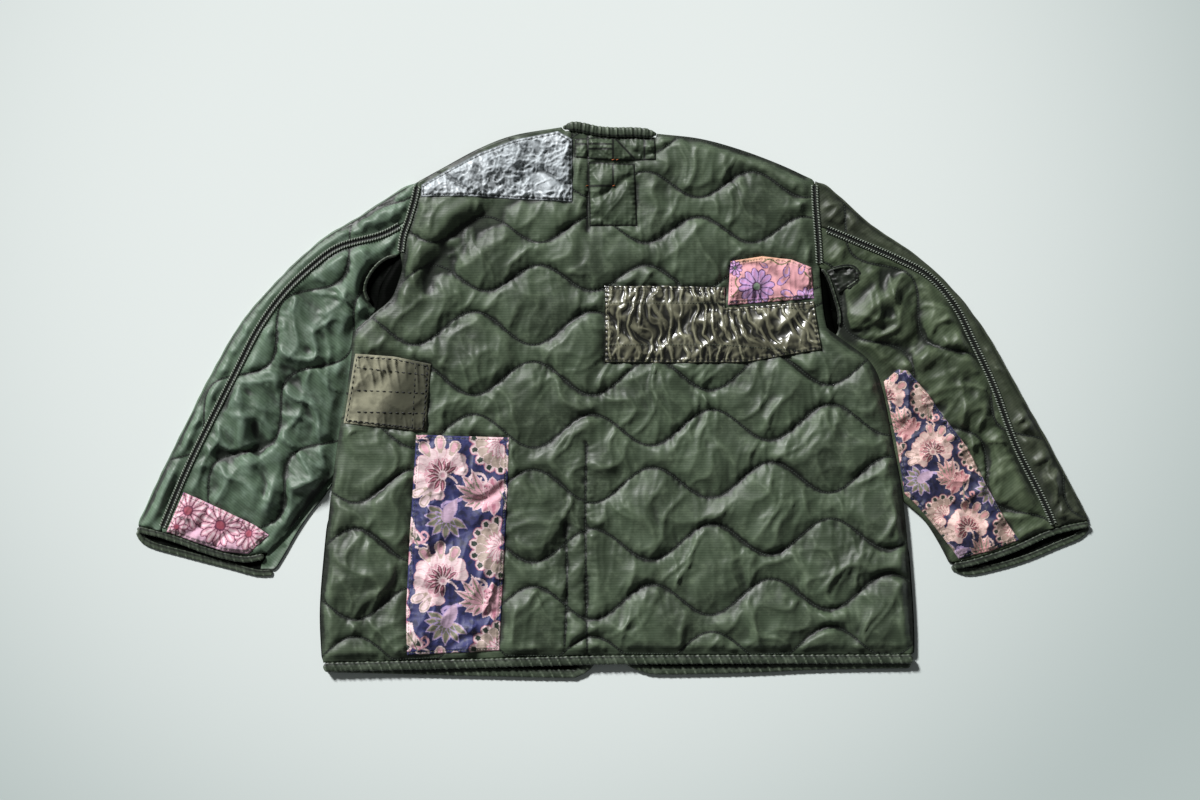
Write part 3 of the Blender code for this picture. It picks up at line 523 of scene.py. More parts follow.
# hollow and hollowShade paint shade into the hollows; ridgeWearAndHighlight paints wear and a highlight onto the
# ridges
nylonLook = {
    "main": "#495743", "deep": "#384333", "worn": "#6c7b62", "crease": "#090c08", "hollow": "#10160f",
    "patchySize": 70.0, "grainSize": 16.0,
    "ribPitch": 3.1,      # the ripstop's heavier threads, drawn a little wider apart than the real 2.6 mm to show
    "ribShade": 0.2, "creaseShade": 0.97, "creaseWide": 2.2, "ribDepth": 0.03, "crumple": 0.4,
    "hollowShade": 0.95, "ridgeWearAndHighlight": 0.22, "gloss": (0.46, 0.58), "shine": 0.4,
}
greenLook = dict(nylonLook, main="#5b705b", deep="#485a48", worn="#7f9384")
oliveLook = dict(nylonLook, main="#46533c", deep="#36412e", worn="#677458")
stripLook = dict(nylonLook, main="#384030", deep="#2b3124", worn="#555c48")
bindingLook = dict(nylonLook, main="#3b4636", deep="#2d362a", worn="#707c69", ribPitch=1.8,
                   crumple=0.3, gloss=(0.42, 0.55), ridgeWearAndHighlight=0.9)
sleeveGrain = {"left": math.atan2(0.65, 0.76), "right": -math.atan2(0.65, 0.76)}
nylon = {"back": ripstopNylon("quiltedNylonRipstop", nylonLook)}
for side in ("left", "right"):
    nylon[side] = ripstopNylon("sleeveNylonRipstop_" + side, greenLook if side == "left" else oliveLook,
                               sleeveGrain[side])
nylon["rightStrip"] = ripstopNylon("topSleeveNylon_right", stripLook, sleeveGrain["right"])
nylon["leftStrip"] = nylon["left"]
bindingNylon = ripstopNylon("foldedNylonBinding", bindingLook)
# painted shade: the turned vent flap gets a darker copy of the olive nylon, as it lies in shade
flapShadeNylon = ripstopNylon("turnedNylonInShade", dict(oliveLook, main="#20271d", deep="#151a13", worn="#323b2c"))
# painted shade: near-black nylon for the faces that look into the garment, where deep shadow falls
paintedShadeNylon = ripstopNylon("shadedInnerNylon", dict(
    nylonLook, main="#060806", deep="#040504", worn="#070907", hollow="#030403", shine=0.02, ridgeWearAndHighlight=0.0,
    creaseShade=0.0))


def foilCloth(look):
    # aluminium-coated plain weave: white glints along every crumple, painted grey shade in the creases between them,
    # and a dark line along the stitching
    made, tree, place = startMaterial("aluminisedCloth")
    crumple = addNode(tree, "TexNoise", {"Vector": place, "Scale": 1000 / look["crumpleSize"], "Detail": 5.0,
                                         "Roughness": 0.6}, noise_type="RIDGED_MULTIFRACTAL")
    smudge = addNode(tree, "TexNoise", {"Vector": place, "Scale": 1000 / look["smudgeSize"], "Detail": 3.0})
    weave = addNode(tree, "TexWave", {"Vector": place, "Scale": bandScale(look["weavePitch"]), "Distortion": 1.0},
                    1, bands_direction="Y")
    gap, relief = (addNode(tree, "Attribute", {}, "Fac", attribute_name=key) for key in ("stitchGap", "relief"))
    colour = layered(tree, rgba(look["bright"]), [
        (smudge, 0.35, 0.65, 0, 1, look["rubbed"]),
        # painted shade: the foil's creases are painted towards the seam colour
        (relief, -1.1, 0.1, 0.75, 0, look["seam"]),
        (gap, 0.0, 1.6, 0.6, 0, look["seam"])])
    gleam = addNode(tree, "MapRange", {0: smudge, 1: 0.3, 2: 0.7, 3: look["gloss"][0], 4: look["gloss"][1]},
                    interpolation_type="SMOOTHSTEP")
    return finishMaterial(made, {"Base Color": colour, "Roughness": gleam, "Metallic": look["metal"]},
                          [(crumple, look["crumple"]), (weave, 0.05)])


def plainCotton(look):
    # unbleached plain-woven cotton: matt, with threads that show, a faded, thumbed face, and painted shade where the
    # falloff attribute is high
    made, tree, place = startMaterial("drabCotton")
    across, down = (addNode(tree, "TexWave", {"Vector": place, "Scale": bandScale(look["threadPitch"]),
                                              "Distortion": 1.5, "Detail": 2.0}, 1, bands_direction=way)
                    for way in "XY")
    faded = addNode(tree, "TexNoise", {"Vector": place, "Scale": 1000 / look["fadeSize"], "Detail": 5.0})
    falloff = addNode(tree, "Attribute", {}, "Fac", attribute_name="falloff")
    colour = layered(tree, rgba(look["light"]), [
        # painted shade: the falloff attribute blends the cotton towards its dark colour
        (falloff, 0, 1, 0, 1, look["dark"]),
        (faded, 0.35, 0.7, 0, 0.5, look["stain"]),
        (across, 0.2, 0.8, 0.25, 0, look["stain"])])
    return finishMaterial(made, {"Base Color": colour, "Roughness": 0.86, "Sheen Weight": 0.25,
                                 "Specular IOR Level": 0.3}, [(faded, 0.5), (across, 0.15), (down, 0.15)])


def patternedCloth(name, look):
    # the pattern is drawn on the mesh's points; the threads, their gleam and their grime are nodes
    made, tree, place = startMaterial(name)
    drawn = addNode(tree, "Attribute", {}, "Color", attribute_name="pattern")
    threads = addNode(tree, "TexWave", {"Vector": place, "Scale": bandScale(look["threadPitch"]), "Distortion": 0.8,
                                        "Detail": 1.0}, 1, bands_direction=look["threads"])
    worn = addNode(tree, "TexNoise", {"Vector": place, "Scale": 1000 / look["wornSize"], "Detail": 5.0})
    colour = layered(tree, drawn, [(threads, 0.1, 0.9, look["threadShade"], 0, look["between"], "MULTIPLY"),
                                   (worn, 0.4, 0.75, 0, look["wornShare"], look["grime"])])
    return finishMaterial(made, {"Base Color": colour, "Roughness": look["roughness"], "IOR": 1.5,
                                 "Sheen Weight": look["sheen"]}, [(worn, 0.4), (threads, look["threadDepth"])])


def coatedNylon(look):
    # drab nylon with a glossy coat: dark, with thin white glints along its pleats and painted shade in the hollows
    # between them
    made, tree, place = startMaterial("glossCoatedNylon")
    crumple = addNode(tree, "TexNoise", {"Vector": place, "Scale": 1000 / look["crumpleSize"], "Detail": 4.0,
                                         "Roughness": 0.55}, noise_type="RIDGED_MULTIFRACTAL")
    cloudy = addNode(tree, "TexNoise", {"Vector": place, "Scale": 1000 / look["patchySize"], "Detail": 3.0})
    relief = addNode(tree, "Attribute", {}, "Fac", attribute_name="relief")
    colour = layered(tree, rgba(look["main"]), [(cloudy, 0.35, 0.65, 0, 1, look["deep"]),
                                                # painted shade: the hollows between the pleats are painted towards
                                                # the crease colour
                                                (relief, -0.65, 0.5, 0.97, 0, look["crease"])])
    return finishMaterial(made, {"Base Color": colour, "Roughness": 0.38, "IOR": 1.6, "Coat Weight": 1.0,
                                 "Coat Roughness": 0.27}, [(crumple, look["crumple"])])


def sewingThread(name, code):
    # spun thread: matt, a little fuzzy, with a twist
    made, tree, place = startMaterial(name)
    twist = addNode(tree, "TexWave", {"Vector": place, "Scale": bandScale(0.9), "Distortion": 0.5}, 1,
                    bands_direction="DIAGONAL")
    colour = layered(tree, rgba(code), [(twist, 0.2, 0.8, 0.35, 0, "#272727")])
    return finishMaterial(made, {"Base Color": colour, "Roughness": 0.6})


# seam is the colour of the painted shade in the creases and of the dark line along the stitching
foil = foilCloth({"bright": "#cbd1d5", "rubbed": "#a5acb0", "seam": "#3f4446", "crumpleSize": 4.5,
                  "smudgeSize": 45.0, "weavePitch": 1.2, "metal": 0.1, "gloss": (0.46, 0.6), "crumple": 0.45})
# light and dark are the lit end and the painted-shade end of the drab cotton's tone
cotton = plainCotton({"light": "#a09e86", "dark": "#454636", "stain": "#3d3d2f", "threadPitch": 1.1,
                      "fadeSize": 14.0})
brocadeCloth = patternedCloth("figuredBrocade", {
    "threads": "Y", "threadPitch": 1.4, "threadShade": 0.25, "between": "#8a8090", "wornSize": 10.0,
    "wornShare": 0.08, "grime": "#8f8088", "roughness": 0.52, "sheen": 0.2, "threadDepth": 0.12})
floralCotton = patternedCloth("printedCotton", {
    "threads": "X", "threadPitch": 1.0, "threadShade": 0.2, "between": "#b0a0a0", "wornSize": 12.0,
    "wornShare": 0.2, "grime": "#a88f8a", "roughness": 0.78, "sheen": 0.2, "threadDepth": 0.08})
glossNylon = coatedNylon({"main": "#82816a", "deep": "#62614e", "crease": "#0a0b08", "crumpleSize": 20.0,
                          "patchySize": 30.0, "crumple": 0.06})
thread = {
    "quilting": sewingThread("quiltingThread", "#39473a"),
    "black": sewingThread("blackThread", "#17191a"),
    "pale": sewingThread("greyGreenThread", "#b4beb1"),
    "drab": sewingThread("drabThread", "#6c7358"),
    "orange": sewingThread("orangeThread", "#c4682c"),
}
tell("materials ready")


# Quilted panels

quiltMake = {
    "mesh": 5.0,         # mm between points before the last subdivision
    "valley": 4.3,       # how far from the stitching the padding comes up
    "shrink": (1.12, 1.03),  # the cut over what it lies on, along and across the rows
    "push": 30.0, "frames": 20, "cap": 3.0,
    "streaks": 0.9, "streakSize": 13.0,
    "pucker": 1.0, "puckerPitch": 9.0, "puckerReach": 4.5,
    # creases over the padding: width in mm, length over width, direction from the rows, height in mm
    "backCreases": [(62, 2.4, 80, 4.2), (36, 3.2, 112, 3.0), (32, 3.2, 52, 2.6), (14, 4.0, 86, 1.0),
                    (19, 3.6, 20, 0.7)],
    "sleeveCreases": [(46, 2.6, 74, 5.0), (28, 3.2, 112, 3.6), (30, 2.8, 22, 3.4), (14, 3.8, 88, 1.2),
                      (19, 3.4, 45, 0.9)],
}


def quiltedTop(name, outline, field, sewn, puff, seed, creases):
    # one panel's upper face, swollen between its rows of stitching
    q = quiltMake
    grain = np.column_stack([field["run"], field["across"]])
    plan, faces = triangulated(outline, sewn + rowLines(field), q["mesh"], seed)
    near = np.minimum(rowGap(field, plan)[0], reach(plan, outline, True)[0])
    near = np.minimum(near, reachAny(plan, sewn))
    pinned = near < 0.4
    streaks = drift((plan @ grain) * (1, 0.28), q["streakSize"], seed)
    z = puff * (1 - np.exp(-near / q["valley"])) + q["streaks"] * streaks * np.minimum(near / 12, 1)
    points = np.column_stack([plan, z])
    cut = (plan @ grain * q["shrink"]) @ grain.T
    moved = settle(name, plan, faces, z, pinned, cut, q["push"], q["frames"]) - points
    far = np.linalg.norm(moved, axis=1)
    points += moved * np.minimum(1, q["cap"] / np.maximum(far, 1e-6))[:, None]
    points, flat, faces, _ = halved(points, plan, faces, pinned)
    gap, along = rowGap(field, flat)
    local = flat @ grain
    wobble = drift(local, 22, seed + 3.1)
    puckers = np.sin(2 * np.pi * along / q["puckerPitch"] + 4.5 * wobble) * (0.7 + 0.6 * drift(local, 30, seed + 5))
    z = points[:, 2] + crumpled(local, seed, creases) * (0.2 + 0.8 * ease(gap / 9))
    z += q["pucker"] * puckers * np.exp(-gap / q["puckerReach"]) * ease(gap / 2.2)
    tell("%s settled, %d points" % (name, len(flat)))
    return points[:, :2], flat, z, faces, gap


def folded(points, folds):
    # folds, listed one by one: a line, its height, its half width, and how steep its one side is
    z = np.zeros(len(points))
    for line, rise, half, lean in folds:
        gap, along = reach(points, line)
        steps = np.hypot(*np.diff(line, axis=0).T)
        ends = steps.sum()
        k = np.clip(np.searchsorted(np.cumsum(steps), along), 0, len(line) - 2)
        way = line[k + 1] - line[k]
        side = np.sign(way[:, 0] * (points[:, 1] - line[k, 1]) - way[:, 1] * (points[:, 0] - line[k, 0]))
        width = half * np.where(side * lean > 0, 1 - abs(lean), 1.0)
        falloff = ease(along / 30) * ease((ends - along) / 30) if ends > 80 else 1.0
        z += rise * np.exp(-(gap / width) ** 2) * (0.35 + 0.65 * falloff)
    return z


def atEdges(z, points, edges, low, width=13.0):
    return low + (z - low) * ease(reachAny(points, edges) / width)


def atTapes(z, points, lines, height):
    # flat under a seam's tape
    return height + (z - height) * ease((reachAny(points, lines) - 4.6) / 10)


def neighbours(faces, count):
    ends = np.unique(np.sort(sidesOf(faces), axis=1), axis=0)
    return ends, np.bincount(ends.ravel(), minlength=count)


def sumAround(z, ends):
    # the sum of each point's neighbours
    return np.bincount(ends[:, 0], z[ends[:, 1]], len(z)) + np.bincount(ends[:, 1], z[ends[:, 0]], len(z))


def reliefOf(z, faces, rounds=26):
    # how far each point stands above or below the cloth round it
    ends, count = neighbours(faces, len(z))
    mean = z.copy()
    for _ in range(rounds):
        mean = 0.3 * mean + 0.7 * sumAround(mean, ends) / count
    return z - mean


def closedPanel(points, z, faces, under):
    # a panel's upper face, its sides and its plain underside as one closed mesh
    rim = rimOf(faces)
    top = np.column_stack([points, z])
    foot = np.column_stack([points[rim], np.full(len(rim), under)])
    middle = (top[rim] + foot) / 2
    count, n = len(top), len(rim)
    faces = [tuple(f) for f in faces]
    for k in range(n):
        a, b = rim[k], rim[(k + 1) % n]
        ma, mb = count + k, count + (k + 1) % n
        faces += [(b, a, ma, mb), (mb, ma, ma + n, mb + n)]
    faces.append(tuple(count + n + k for k in reversed(range(n))))
    return np.vstack([top, middle, foot]), faces


def joined(*parts):
    points, faces, count = [], [], 0
    for p, f in parts:
        points.append(p)
        faces += [tuple(i + count for i in face) for face in f]
        count += len(p)
    return np.vstack(points), faces


def area(outline):
    x, y = outline.T
    return abs(np.sum(x * np.roll(y, -1) - np.roll(x, -1) * y)) / 2 * mm * mm


def declare(node, outline, cut=1.05, share=1.0):
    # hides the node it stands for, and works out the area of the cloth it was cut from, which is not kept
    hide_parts(node)
    span = (outline.max(axis=0) - outline.min(axis=0)) * mm * cut
    flatArea = min(area(outline) * cut * cut * share, span[0] * span[1])
    flatArea = max(flatArea, 0.3 * span[0] * span[1])


level = {
    "backUnder": 5.3, "sleeveUnder": 2.7, "sleeveFloor": 2.4, "frontTop": 5.0, "seam": 8.0, "edge": 6.6,
    "tuck": 4.8, "bodyStitch": 8.2, "sleeveStitch": 6.8, "aboveAll": 60.0,
}
farOff, inShade = 9.0, -1.0   # the stitch distance and the relief given to sides and undersides; that relief paints a little shade on them
backPatches = ["silver", "tan", "brocade", "floral", "shiny", "facing", "tab"]


def fold(points, rise, half, lean=0.0):
    return softLine(points), rise, half, lean


backFolds = [
    fold([(-166, 244), (-200, 214), (-228, 172), (-244, 128)], 6.0, 15.0, 0.3),
    fold([(-118, 240), (-150, 214), (-190, 178), (-218, 138), (-236, 104)], -6.8, 15.0),
    fold([(-128, 206), (-150, 160), (-168, 128)], 3.0, 24.0),
    fold([(272, 60), (292, 20), (300, -40)], 2.5, 16.0),
    fold([(100, -296), (140, -262), (176, -246)], 2.5, 14.0, 0.4),
    fold([(300, -290), (330, -262)], 2.5, 14.0, 0.4),
    fold([(-70, 210), (-96, 176), (-128, 152)], 2.2, 11.0, 0.3),
    fold([(-330, -140), (-300, -128), (-262, -120)], 1.8, 10.0),
    fold([(-335, -232), (-300, -214), (-268, -206)], 1.8, 10.0),
    fold([(120, 40), (170, 8), (240, -10)], -2.0, 12.0),
    fold([(20, -60), (60, -96), (130, -112)], -1.8, 12.0),
    fold([(250, -120), (300, -140), (345, -150)], 1.8, 11.0),
    fold([(60, 240), (110, 226), (170, 232)], -1.6, 10.0),
]
sleeveFolds = {
    "left": [
        fold([(-455, 20), (-440, -40), (-430, -104)], 5.0, 13.0, 0.4),
        fold([(-441, 22), (-426, -40), (-417, -108)], -3.5, 9.0),
        fold([(-372, 130), (-352, 96), (-334, 66)], -4.0, 12.0),
        fold([(-398, 82), (-370, 48), (-330, 40)], 5.0, 20.0, 0.3),
        fold([(-420, -122), (-380, -96), (-350, -80)], 4.0, 14.0),
        fold([(-318, 172), (-306, 140), (-300, 112)], 4.5, 14.0, 0.3),
        fold([(-392, 40), (-372, 10), (-360, -30)], -3.0, 10.0),
        fold([(-484, -66), (-450, -64), (-415, -50)], -2.5, 9.0),
    ],
    "right": [
        fold([(290, 98), (325, 120), (352, 148)], 7.0, 12.0, 0.4),
        fold([(290, 118), (312, 138), (330, 152)], -4.0, 10.0),
        fold([(322, 34), (345, 60), (372, 78)], -4.5, 13.0),
        fold([(372, 48), (412, 70), (436, 62)], 6.0, 13.0, 0.3),
        fold([(392, 20), (420, -10), (436, -40)], 4.0, 16.0),
        fold([(470, -60), (486, -100), (496, -130)], 3.5, 13.0, 0.4),
        fold([(300, 180), (330, 160), (352, 140)], -2.5, 10.0),
        fold([(274, 122), (272, 96), (282, 66)], -4.5, 11.0),
        fold([(444, -60), (462, -96), (470, -130)], -2.5, 9.0),
    ],
}
deepShade = {   # painted shade: a line, how much darker, how wide
    "back": [([(-120, 238), (-155, 212), (-192, 178), (-222, 136)], 1.1, 15.0)],
    "left": [([(-318, 168), (-310, 140), (-306, 118)], 1.6, 9.0)],
    "right": [([(258, 136), (270, 112), (282, 80)], 2.4, 17.0), ([(304, 132), (330, 150)], 1.2, 8.0)],
}


def shaded(relief, points, name):
    # painted shade on the deepest folds, where hardly any light comes
    for line, dark, wide in deepShade[name]:
        relief = relief - dark * np.exp(-(reach(points, softLine(line))[0] / wide) ** 2)
    return relief


def surfaceOf(points, z, faces):
    # what a patch or a stitch lies on
    tree = BVHTree.FromPolygons(np.column_stack([points, z]).tolist(), [tuple(map(int, f)) for f in faces])

    def height(at):
        found = np.full(len(at), np.nan)
        for k, p in enumerate(np.atleast_2d(at)):
            hit = tree.ray_cast(Vector((p[0], p[1], level["aboveAll"])), Vector((0, 0, -1)))[0]
            if hit:
                found[k] = hit.z
        return found
    return height


def panelPiece(name, points, flat, z, faces, gap, place, under):
    made = closedPanel(points, z, faces, under)
    rest = np.ones(len(made[0]) - len(gap))
    # the relief paints shade into the hollows and the deepest folds, and wear and a highlight onto the ridges
    return makePiece(name, *made, nylon[place], {
        "stitchGap": np.r_[gap, farOff * rest],
        "relief": np.r_[shaded(reliefOf(z, faces), flat, place), inShade * rest]})


def pressedDown(z, points, edges):
    # the quilting lies a little lower under a patch
    for edge in edges:
        z = z - 0.7 * inside(points, edge) * ease(reach(points, edge, True)[0] / 2.5)
    return z


# The back, one quilted panel from neck to hem.

inBinding = 5.5   # how far a panel's edge lies inside its binding's middle line
shoulderToHem = ("shoulder", "armholeTop", "armholeLow", "ventBody", "bodySide")
backOutline = closedLoop(
    sideOf(hemLine, inBinding), *[seam["right"][k][::-1] for k in reversed(shoulderToHem)],
    sideOf(neckLine, -inBinding)[::-1], *[seam["left"][k] for k in shoulderToHem])
armhole = {s: np.vstack([seam[s]["armholeTop"], seam[s]["armholeLow"][1:]]) for s in hand}
patchLines = [looped(patchEdge[p]) for p in backPatches]
backMake = {"puff": 4.6, "seed": 11, "grooveDeep": 2.4, "grooveWide": 2.6, "darnHigh": 1.5, "darnDeep": 0.8}
neckGrooves = [np.array([(-30, 322), (-31, 204)], float), np.array([(-49, 322), (-49, 300)], float)]
darnLines = [softLine([(-57, -148), (-55, -220), (-58, -294)]), softLine([(-32, -52), (-33, -150), (-31, -300)])]

points, flat, z, faces, gap = quiltedTop("back_quilted_panel", backOutline, bodyField,
                                         patchLines + darnLines + neckGrooves,
                                         backMake["puff"], backMake["seed"], quiltMake["backCreases"])
z = z + level["bodyStitch"] + folded(flat, backFolds)
darn = reachAny(flat, darnLines)
groove = reachAny(flat, neckGrooves)
z -= backMake["grooveDeep"] * np.exp(-groove / backMake["grooveWide"])
gap = np.minimum(gap, groove)
z += backMake["darnHigh"] * (ridged(flat, 7.0, 2.6, 0.1, 4.0) - 0.4) * np.exp(-darn / 11)
z -= backMake["darnDeep"] * np.exp(-darn / 2.5)
freeEdges = [seam[s][k] for s in hand for k in ("shoulder", "bodySide", "ventBody")]
z = atEdges(z, flat, freeEdges + [sideOf(neckLine, -inBinding), sideOf(hemLine, inBinding)], level["edge"])
z = atTapes(z, flat, [armhole["left"], armhole["right"]], level["seam"])
z = np.maximum(z, level["backUnder"] + 1.0)
z = pressedDown(z, flat, [patchEdge[p] for p in backPatches])
backTop = surfaceOf(points, z, faces)
back = panelPiece("back_quilted_panel", points, flat, z, faces, np.minimum(gap, darn), "back", level["backUnder"])
declare("back_panel", backOutline)


# The fronts, face down, with their quilting grooved on the side that lies on the floor.

def flatPanel(outline, field, under, top, seed, step=8.0):
    plan, faces = triangulated(outline, rowLines(field), step, seed)
    edge = reach(plan, outline, True)[0]
    gap = np.minimum(rowGap(field, plan)[0], edge)
    low = under + 1.7 * np.exp(-gap / 4.5)
    high = np.full(len(plan), top) - 0.9 * np.exp(-edge / 4)
    rim, n, count = rimOf(faces), len(rimOf(faces)), len(plan)
    upper = [tuple(f) for f in faces]
    lower = [tuple(count + i for i in reversed(f)) for f in faces]
    walls = [(rim[(k + 1) % n], rim[k], count + rim[k], count + rim[(k + 1) % n]) for k in range(n)]
    points = np.vstack([np.column_stack([plan, high]), np.column_stack([plan, low])])
    return points, upper + lower + walls, np.r_[gap, gap], len(upper)


def shadeInside(piece, first, shaded):
    # painted shade: the faces that look into the garment lie in deep shade, so they get near-black nylon
    piece.data.materials.append(paintedShadeNylon)
    indices = np.zeros(len(piece.data.polygons), np.int32)
    indices[first:first + len(shaded)] = shaded
    piece.data.polygons.foreach_set("material_index", indices)


def roll(line, half, low, high, sides=10, wave=0.5, pitch=16.0, seed=0.0):
    # the soft fold where cloth turns round an edge
    step = 3.0
    line = evenLine(line, step)
    along = np.arange(len(line)) * step
    turns = np.linspace(0, 2 * np.pi, sides, endpoint=False)
    normal = turned(line)
    swell = wave * drift(np.column_stack([along, np.zeros(len(line))]), pitch, seed)
    tip = np.sqrt(np.clip(np.minimum(along, along[::-1]) / (3 * step), 0.02, 1))
    rings = []
    for a in turns:
        across = (half + swell) * math.cos(a) * tip
        height = (low + high) / 2 + (high - low) / 2 * math.sin(a) * tip
        rings.append(np.column_stack([line + normal * across[:, None], height]))
    return np.vstack(rings), tubeFaces(sides, len(line))


for side in hand:
    h, s = hand[side], seam[side]
    lowSide = s["bodySide"][s["bodySide"][:, 1] < s["tuck"][-1][1] - 70]
    outline = closedLoop(s["shoulder"][6:], s["armholeTop"], s["armholeLow"], s["ventMiddle"], s["tuck"],
                         sideOf(lowSide, -h * 1.5), sideOf(s["frontHem"], h * inBinding)[3:-3],
                         sideOf(s["frontEdge"], h * inBinding)[3:-3])
    outline = sideOf(evenLine(looped(outline), 5.0)[:-1], 0.05, True)
    made = flatPanel(outline, bodyField, 0.0, level["frontTop"], 21)
    front = makePiece("front_panel_" + side, *made[:2], nylon["back"], numbers={"stitchGap": made[2]})
    shadeInside(front, 0, np.ones(made[3], bool))
    declare("front_" + side, outline)
tell("body ready")


# The sleeves: an under sleeve on top, and a top sleeve that folds round the outer edge.

def sleeveShape(side, flat, z, sewnEdges):
    s, h = seam[side], hand[side]
    z = z + level["sleeveStitch"] + folded(flat, sleeveFolds[side])
    free = [s[k] for k in ("sleeveOuter", "cuffOuter", "cuffInner", "sleeveInner", "ventSleeve")]
    z = atEdges(z, flat, free, level["sleeveUnder"] + 2.2)
    z = atTapes(z, flat, [s["sleeveSeam"], armhole[side]], level["seam"])
    away = reach(flat, s["bodySide"])[0] * np.where(inside(flat, backOutline), -1, 1)
    z = level["tuck"] + (np.maximum(z, level["tuck"]) - level["tuck"]) * ease((away - 2.0) / 14.0)
    return np.maximum(pressedDown(z, flat, sewnEdges), level["sleeveUnder"] + 0.8)


sleevePatch = {"left": patchEdge["cuffLeft"], "right": patchEdge["sleeveRight"]}
sleeveTop, stripTop = {}, {}
for side in hand:
    h, s = hand[side], seam[side]
    underOutline = closedLoop(s["sleeveSeam"][:-1], sideOf(s["cuffInner"], 4.0 * h), s["sleeveInner"][::-1][1:],
                              s["tuck"][::-1], s["ventSleeve"][::-1], s["armholeLow"][::-1])
    underOutline = sideOf(underOutline, 0.3, True)
    stripOutline = closedLoop(s["sleeveOuter"][:-1], sideOf(s["cuffOuter"], 4.0 * h),
                              s["sleeveSeam"][::-1][1:], s["armholeTop"][::-1])
    stripOutline = sideOf(stripOutline, 0.5, True)
    floorOutline = closedLoop(s["sleeveOuter"], sideOf(s["lowerCuff"], 4.0 * h), s["lowerInner"][::-1],
                              s["tuck"][::-1], s["ventMiddle"][::-1], s["armholeLow"][::-1],
                              s["armholeTop"][::-1])
    floorOutline = sideOf(evenLine(looped(floorOutline), 5.0)[:-1], 0.05, True)

    sewnLines = [looped(sleevePatch[side]), sideOf(s["bodySide"], -1.5 * h)]
    points, flat, z, faces, gap = quiltedTop(side + "_under_sleeve_quilted", underOutline, sleeveField[side],
                                             sewnLines, 4.4, 31 + h, quiltMake["sleeveCreases"])
    z = sleeveShape(side, flat, z, [sleevePatch[side]])
    sleeveTop[side] = surfaceOf(points, z, faces)
    piece = panelPiece(side + "_under_sleeve_quilted", points, flat, z, faces, gap, side, level["sleeveUnder"])
    declare(side + "_under_sleeve", underOutline)

    points, flat, z, faces, gap = quiltedTop(side + "_top_sleeve_quilted", stripOutline, sleeveField[side],
                                             [], 4.4, 41 + h, quiltMake["sleeveCreases"])
    z = sleeveShape(side, flat, z, [])
    stripTop[side] = surfaceOf(points, z, faces)
    upper = closedPanel(points, z, faces, level["sleeveUnder"])
    lower = flatPanel(floorOutline, sleeveField[side], 0.0, level["sleeveFloor"], 51)
    turn = roll(sideOf(s["sleeveOuter"], 0.6 * h)[1:-1], 2.0, 0.05, level["sleeveUnder"] + 2.4, seed=h + 0.5)
    parts = joined(upper, lower[:2], turn)
    gaps = np.r_[gap, np.full(len(upper[0]) - len(gap), farOff), lower[2], np.full(len(turn[0]), farOff)]
    relief = np.r_[reliefOf(z, faces), np.zeros(len(gaps) - len(gap))]
    piece = makePiece(side + "_top_sleeve_quilted", *parts, nylon[side + "Strip"],
                      numbers={"stitchGap": gaps, "relief": relief})
    centres = lower[0][np.array(lower[1][:lower[3]])].mean(axis=1)[:, :2]
    shadeInside(piece, len(upper[1]), reach(centres, s["lowerInner"])[0] > 17)
    declare(side + "_top_sleeve", floorOutline,
            share=1 + area(stripOutline) / area(floorOutline))
tell("sleeves ready")


# Patches: each is cut larger than it lies, sewn down along its edges and free to bridge the quilting.

def bridged(ground, faces, rounds, lift):
    # cloth that lies on the high places and hangs between them
    ends, count = neighbours(faces, len(ground))
    z = ground + lift
    for _ in range(rounds):
        z = np.maximum(0.35 * z + 0.65 * sumAround(z, ends) / count, ground + lift)
    return z


patchTop = {}


def sewnPatch(key, name, node, on, material, look, crease, paint=None, paintedShadeBy=None):
    edge = patchEdge[key]
    grooves = [np.array(line, float) for line in look.get("grooves", [])]
    plan, faces = triangulated(edge, grooves, look["mesh"], look["seed"])
    rim = reach(plan, edge, True)
    ground = on(plan)
    ground = np.where(np.isnan(ground), np.nanmean(ground), ground)
    z = bridged(ground, faces, look["bridge"], look["lift"])
    puckers = np.sin(2 * np.pi * rim[1] / look["stitchPitch"] + drift(plan, 12, 2.0))
    z += look["pucker"] * puckers * np.exp(-rim[0] / 6) * ease(rim[0] / 1.5)
    z += look["hem"] * (ease(rim[0] / 1.2) - ease((rim[0] - look["hemWide"]) / 1.5))   # the turned-in hem
    z += crease(plan) * ease(rim[0] / 5)
    sewing, groove = np.abs(rim[0] - look["seamIn"]), reachAny(plan, grooves)
    z -= look["seamDeep"] * np.exp(-(sewing / 0.9) ** 2)
    z -= look["grooveDeep"] * np.exp(-groove / 1.8)
    low = ground + 0.3
    z = low + (np.maximum(z, low) - low) * (0.35 + 0.65 * ease(rim[0] / 2.0))
    order = rimOf(faces)
    skirt = np.column_stack([plan[order], np.maximum(ground[order] - look["skirt"], look["lowest"])])
    n, count = len(order), len(plan)
    walls = [(order[(k + 1) % n], order[k], count + k, count + (k + 1) % n) for k in range(n)]
    colours = None
    if paint:
        drawn = paint(plan)
        colours = {"pattern": np.vstack([drawn, drawn[order]])}
    falloff = paintedShadeBy(plan) if paintedShadeBy else np.zeros(count)
    sewing = np.minimum(np.minimum(sewing, groove), rim[0] + 1.5)
    # painted shade: the skirt under each patch's edge gets a stitch distance of 0 and the side relief, which darken
    # it
    numbers = {"stitchGap": np.r_[sewing, np.zeros(n)], "falloff": np.r_[falloff, falloff[order]],
               "relief": np.r_[reliefOf(z, faces), np.full(n, inShade)]}
    piece = makePiece(name, np.vstack([np.column_stack([plan, z]), skirt]), [tuple(f) for f in faces] + walls,
                      material, numbers, colours)
    declare(node, edge, look["cut"])
    patchTop[key] = surfaceOf(plan, z, faces)


# Figured brocade: a repeat of a palmette, leaves, half flowers and petal chains, all traditional.

